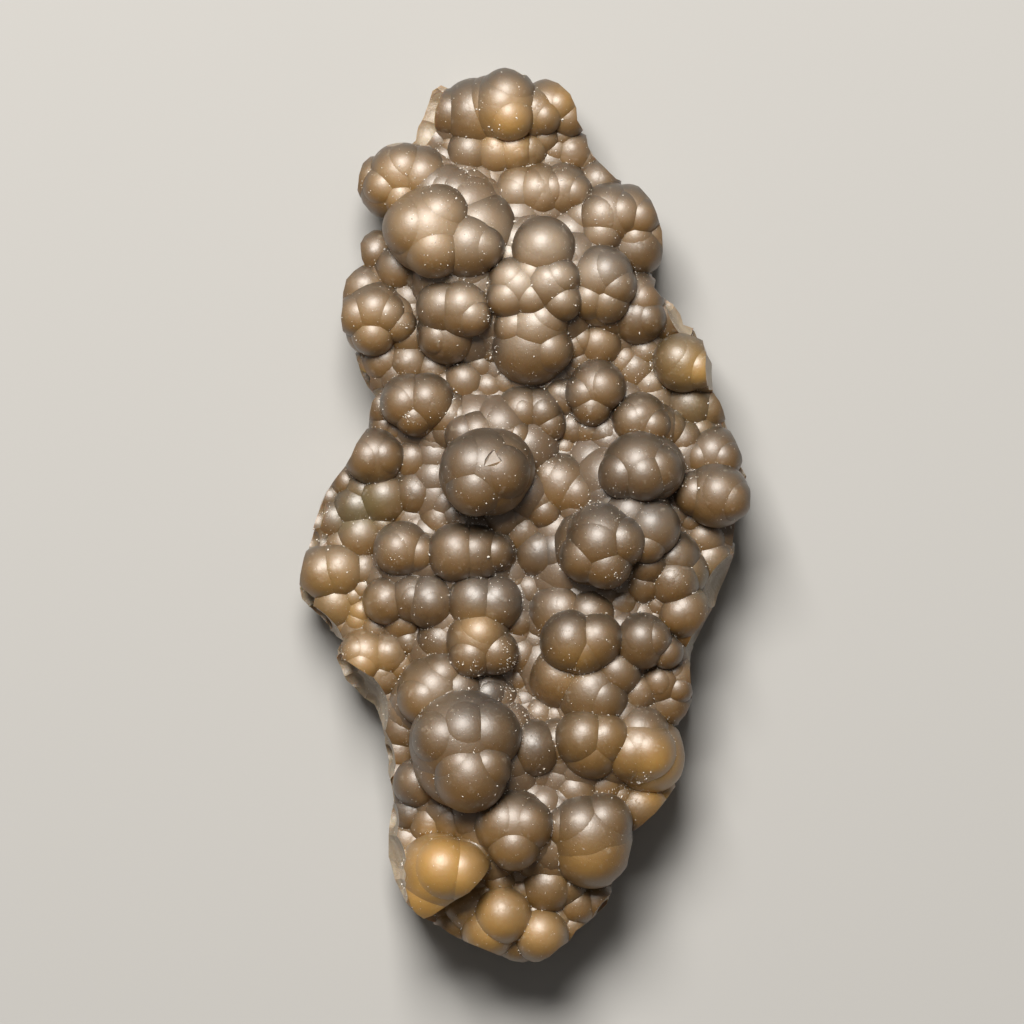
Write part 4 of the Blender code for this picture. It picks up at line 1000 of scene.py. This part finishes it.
# honey: the stone's own colour, partly painted glow where light shines through
base = nd.mix(nd.math("MULTIPLY", nd.attr("honey_and_glow"), 0.6, clamp=True), base, honey_and_glow)
tone_fac = nd.span(nd.attr("lobe_tone"), 0.0, 1.0, 0.84, 1.14)
tone_col = nd.add("ShaderNodeCombineColor")
for k in range(3):
    nd.link(tone_fac, tone_col.inputs[k])
base = nd.mix(1.0, base, tone_col.outputs[0], "MULTIPLY")
mottle = nd.span(cloud, 0.3, 0.7, 0.88, 1.10)
mottle_col = nd.add("ShaderNodeCombineColor")
for k in range(3):
    nd.link(mottle, mottle_col.inputs[k])
base = nd.mix(1.0, base, mottle_col.outputs[0], "MULTIPLY")
haze = nd.span(fleck, 0.63, 0.74, 0.0, 0.16)
base = nd.mix(haze, base, (0.62, 0.55, 0.46, 1.0))
sparkle = nd.span(frost, 0.66, 0.76, 0.0, 0.22)
base = nd.mix(sparkle, base, (0.46, 0.39, 0.31, 1.0))
broken = nd.attr("broken")
chip = nd.mix(nd.span(cloud, 0.35, 0.65), (0.34, 0.265, 0.175, 1.0), (0.54, 0.45, 0.33, 1.0))
level_at = nd.add("ShaderNodeSeparateXYZ")
nd.link(where, level_at.inputs[0])
band = nd.math("SINE", nd.math("ADD", nd.math("MULTIPLY", level_at.outputs["Z"], 5200.0),
                               nd.math("MULTIPLY", cloud, 9.0)))
chip = nd.mix(nd.span(band, -1.0, 1.0, 0.0, 0.45), chip, (0.24, 0.155, 0.080, 1.0))
base = nd.mix(nd.math("MULTIPLY", broken, 0.8), base, chip)
nd.link(base, nd.shader.inputs["Base Color"])

rough = nd.span(cloud, 0.3, 0.7, 0.47, 0.55)
rough = nd.math("ADD", rough, nd.math("MULTIPLY", broken, 0.12))
nd.link(rough, nd.shader.inputs["Roughness"])
nd.shader.inputs["IOR"].default_value = 1.54
nd.shader.inputs["Specular IOR Level"].default_value = 1.0
nd.shader.inputs["Coat Weight"].default_value = 0.50
nd.shader.inputs["Coat Roughness"].default_value = 0.38
nd.shader.inputs["Coat IOR"].default_value = 1.5
nd.shader.inputs["Subsurface Weight"].default_value = 0.35
nd.shader.inputs["Subsurface Radius"].default_value = (1.0, 0.5, 0.2)
nd.shader.inputs["Subsurface Scale"].default_value = 0.0016

bump1 = nd.add("ShaderNodeBump")
bump1.inputs["Strength"].default_value = 0.30
bump1.inputs["Distance"].default_value = 0.00006
nd.link(grain, bump1.inputs["Height"])
bump2 = nd.add("ShaderNodeBump")
bump2.inputs["Strength"].default_value = 0.35
bump2.inputs["Distance"].default_value = 0.00012
nd.link(fleck, bump2.inputs["Height"])
nd.link(bump1.outputs[0], bump2.inputs["Normal"])
bump3 = nd.add("ShaderNodeBump")
bump3.inputs["Strength"].default_value = 0.5
bump3.inputs["Distance"].default_value = 0.00003
nd.link(frost, bump3.inputs["Height"])
nd.link(bump3.outputs[0], bump1.inputs["Normal"])
# broken faces: conchoidal roughness and faint growth bands
rubble = nd.noise(where, 420.0, 5.0, 0.6, 0.4)
bump4 = nd.add("ShaderNodeBump")
bump4.inputs["Strength"].default_value = 0.9
bump4.inputs["Distance"].default_value = 0.0006
nd.link(nd.math("MULTIPLY", rubble, broken), bump4.inputs["Height"])
nd.link(bump4.outputs[0], bump3.inputs["Normal"])
nd.link(bump2.outputs[0], nd.shader.inputs["Normal"])
stone.data.materials.clear()
stone.data.materials.append(silica)
stone.name = "chalcedony_stone"

crystal = bpy.data.materials.new("quartz_grains")
gd = Nodes(crystal)
spot = gd.add("ShaderNodeTexCoord").outputs["Object"]
vary = gd.noise(spot, 700.0, 2.0, 0.6)
fine = gd.noise(spot, 6000.0, 2.0, 0.6)
gd.link(gd.mix(gd.span(vary, 0.35, 0.65), (0.60, 0.53, 0.44, 1.0), (0.86, 0.83, 0.78, 1.0)),
        gd.shader.inputs["Base Color"])
gd.link(gd.span(fine, 0.3, 0.7, 0.35, 0.55), gd.shader.inputs["Roughness"])
gd.shader.inputs["IOR"].default_value = 1.54
dust.materials.append(crystal)
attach(grains, "root")
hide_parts("chalcedony")

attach(stone, "root")
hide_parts("chalcedony")

# ---------------------------------------------------------------- studio
bm = bmesh.new()
bmesh.ops.create_grid(bm, x_segments=2, y_segments=2, size=1.5)
plane = bpy.data.meshes.new("floor")
bm.to_mesh(plane)
bm.free()
floor = bpy.data.objects.new("floor", plane)
floor.location.z = float(cad_lo[2])
bpy.context.scene.collection.objects.link(floor)
matte = bpy.data.materials.new("floor_matte")
matte.use_nodes = True
matte.node_tree.nodes["Principled BSDF"].inputs["Base Color"].default_value = (0.43, 0.425, 0.415, 1.0)
matte.node_tree.nodes["Principled BSDF"].inputs["Roughness"].default_value = 0.9
plane.materials.append(matte)

scene = bpy.context.scene
sky = bpy.data.worlds.new("studio")
sky.use_nodes = True
tree = sky.node_tree
glow_node = tree.nodes["Background"]
place = tree.nodes.new("ShaderNodeTexCoord")
split = tree.nodes.new("ShaderNodeSeparateXYZ")
ramp = tree.nodes.new("ShaderNodeMapRange")
ramp.interpolation_type = "SMOOTHSTEP"
for k, v in zip(range(1, 5), (0.30, 0.97, 0.02, 0.16)):
    ramp.inputs[k].default_value = v
tree.links.new(place.outputs["Generated"], split.inputs[0])
tree.links.new(split.outputs["Z"], ramp.inputs[0])
tree.links.new(ramp.outputs[0], glow_node.inputs["Strength"])
glow_node.inputs["Color"].default_value = (1.0, 0.965, 0.92, 1.0)
scene.world = sky


def softbox(name, direction, distance, size, power, colour=(1.0, 1.0, 1.0)):
    lamp = bpy.data.lights.new(name, "AREA")
    lamp.shape = "SQUARE"
    lamp.size = size
    lamp.energy = power
    lamp.color = colour
    made = bpy.data.objects.new(name, lamp)
    d = Vector(direction).normalized()
    made.location = d * distance
    made.rotation_euler = d.to_track_quat("Z", "Y").to_euler()
    scene.collection.objects.link(made)
    return made


softbox("key", (-0.134, 0.536, 0.833), 0.90, 0.42, 14.2, (1.0, 0.965, 0.91))

# Camera straight above the grown face.
REACH = 2.0
level = 0.009
middle = world(512.0, 512.0, 0.0)
camera_data = bpy.data.cameras.new("camera")
camera_data.sensor_width = 36.0
camera_data.lens = 36.0 * REACH / (1024.0 * UNIT)
camera_data.clip_start = 0.01
camera_data.clip_end = 20.0
camera = bpy.data.objects.new("camera", camera_data)
camera.location = (middle.x + shift[0], middle.y + shift[1], level + REACH)
scene.collection.objects.link(camera)
scene.camera = camera
scene.view_settings.view_transform = "Standard"
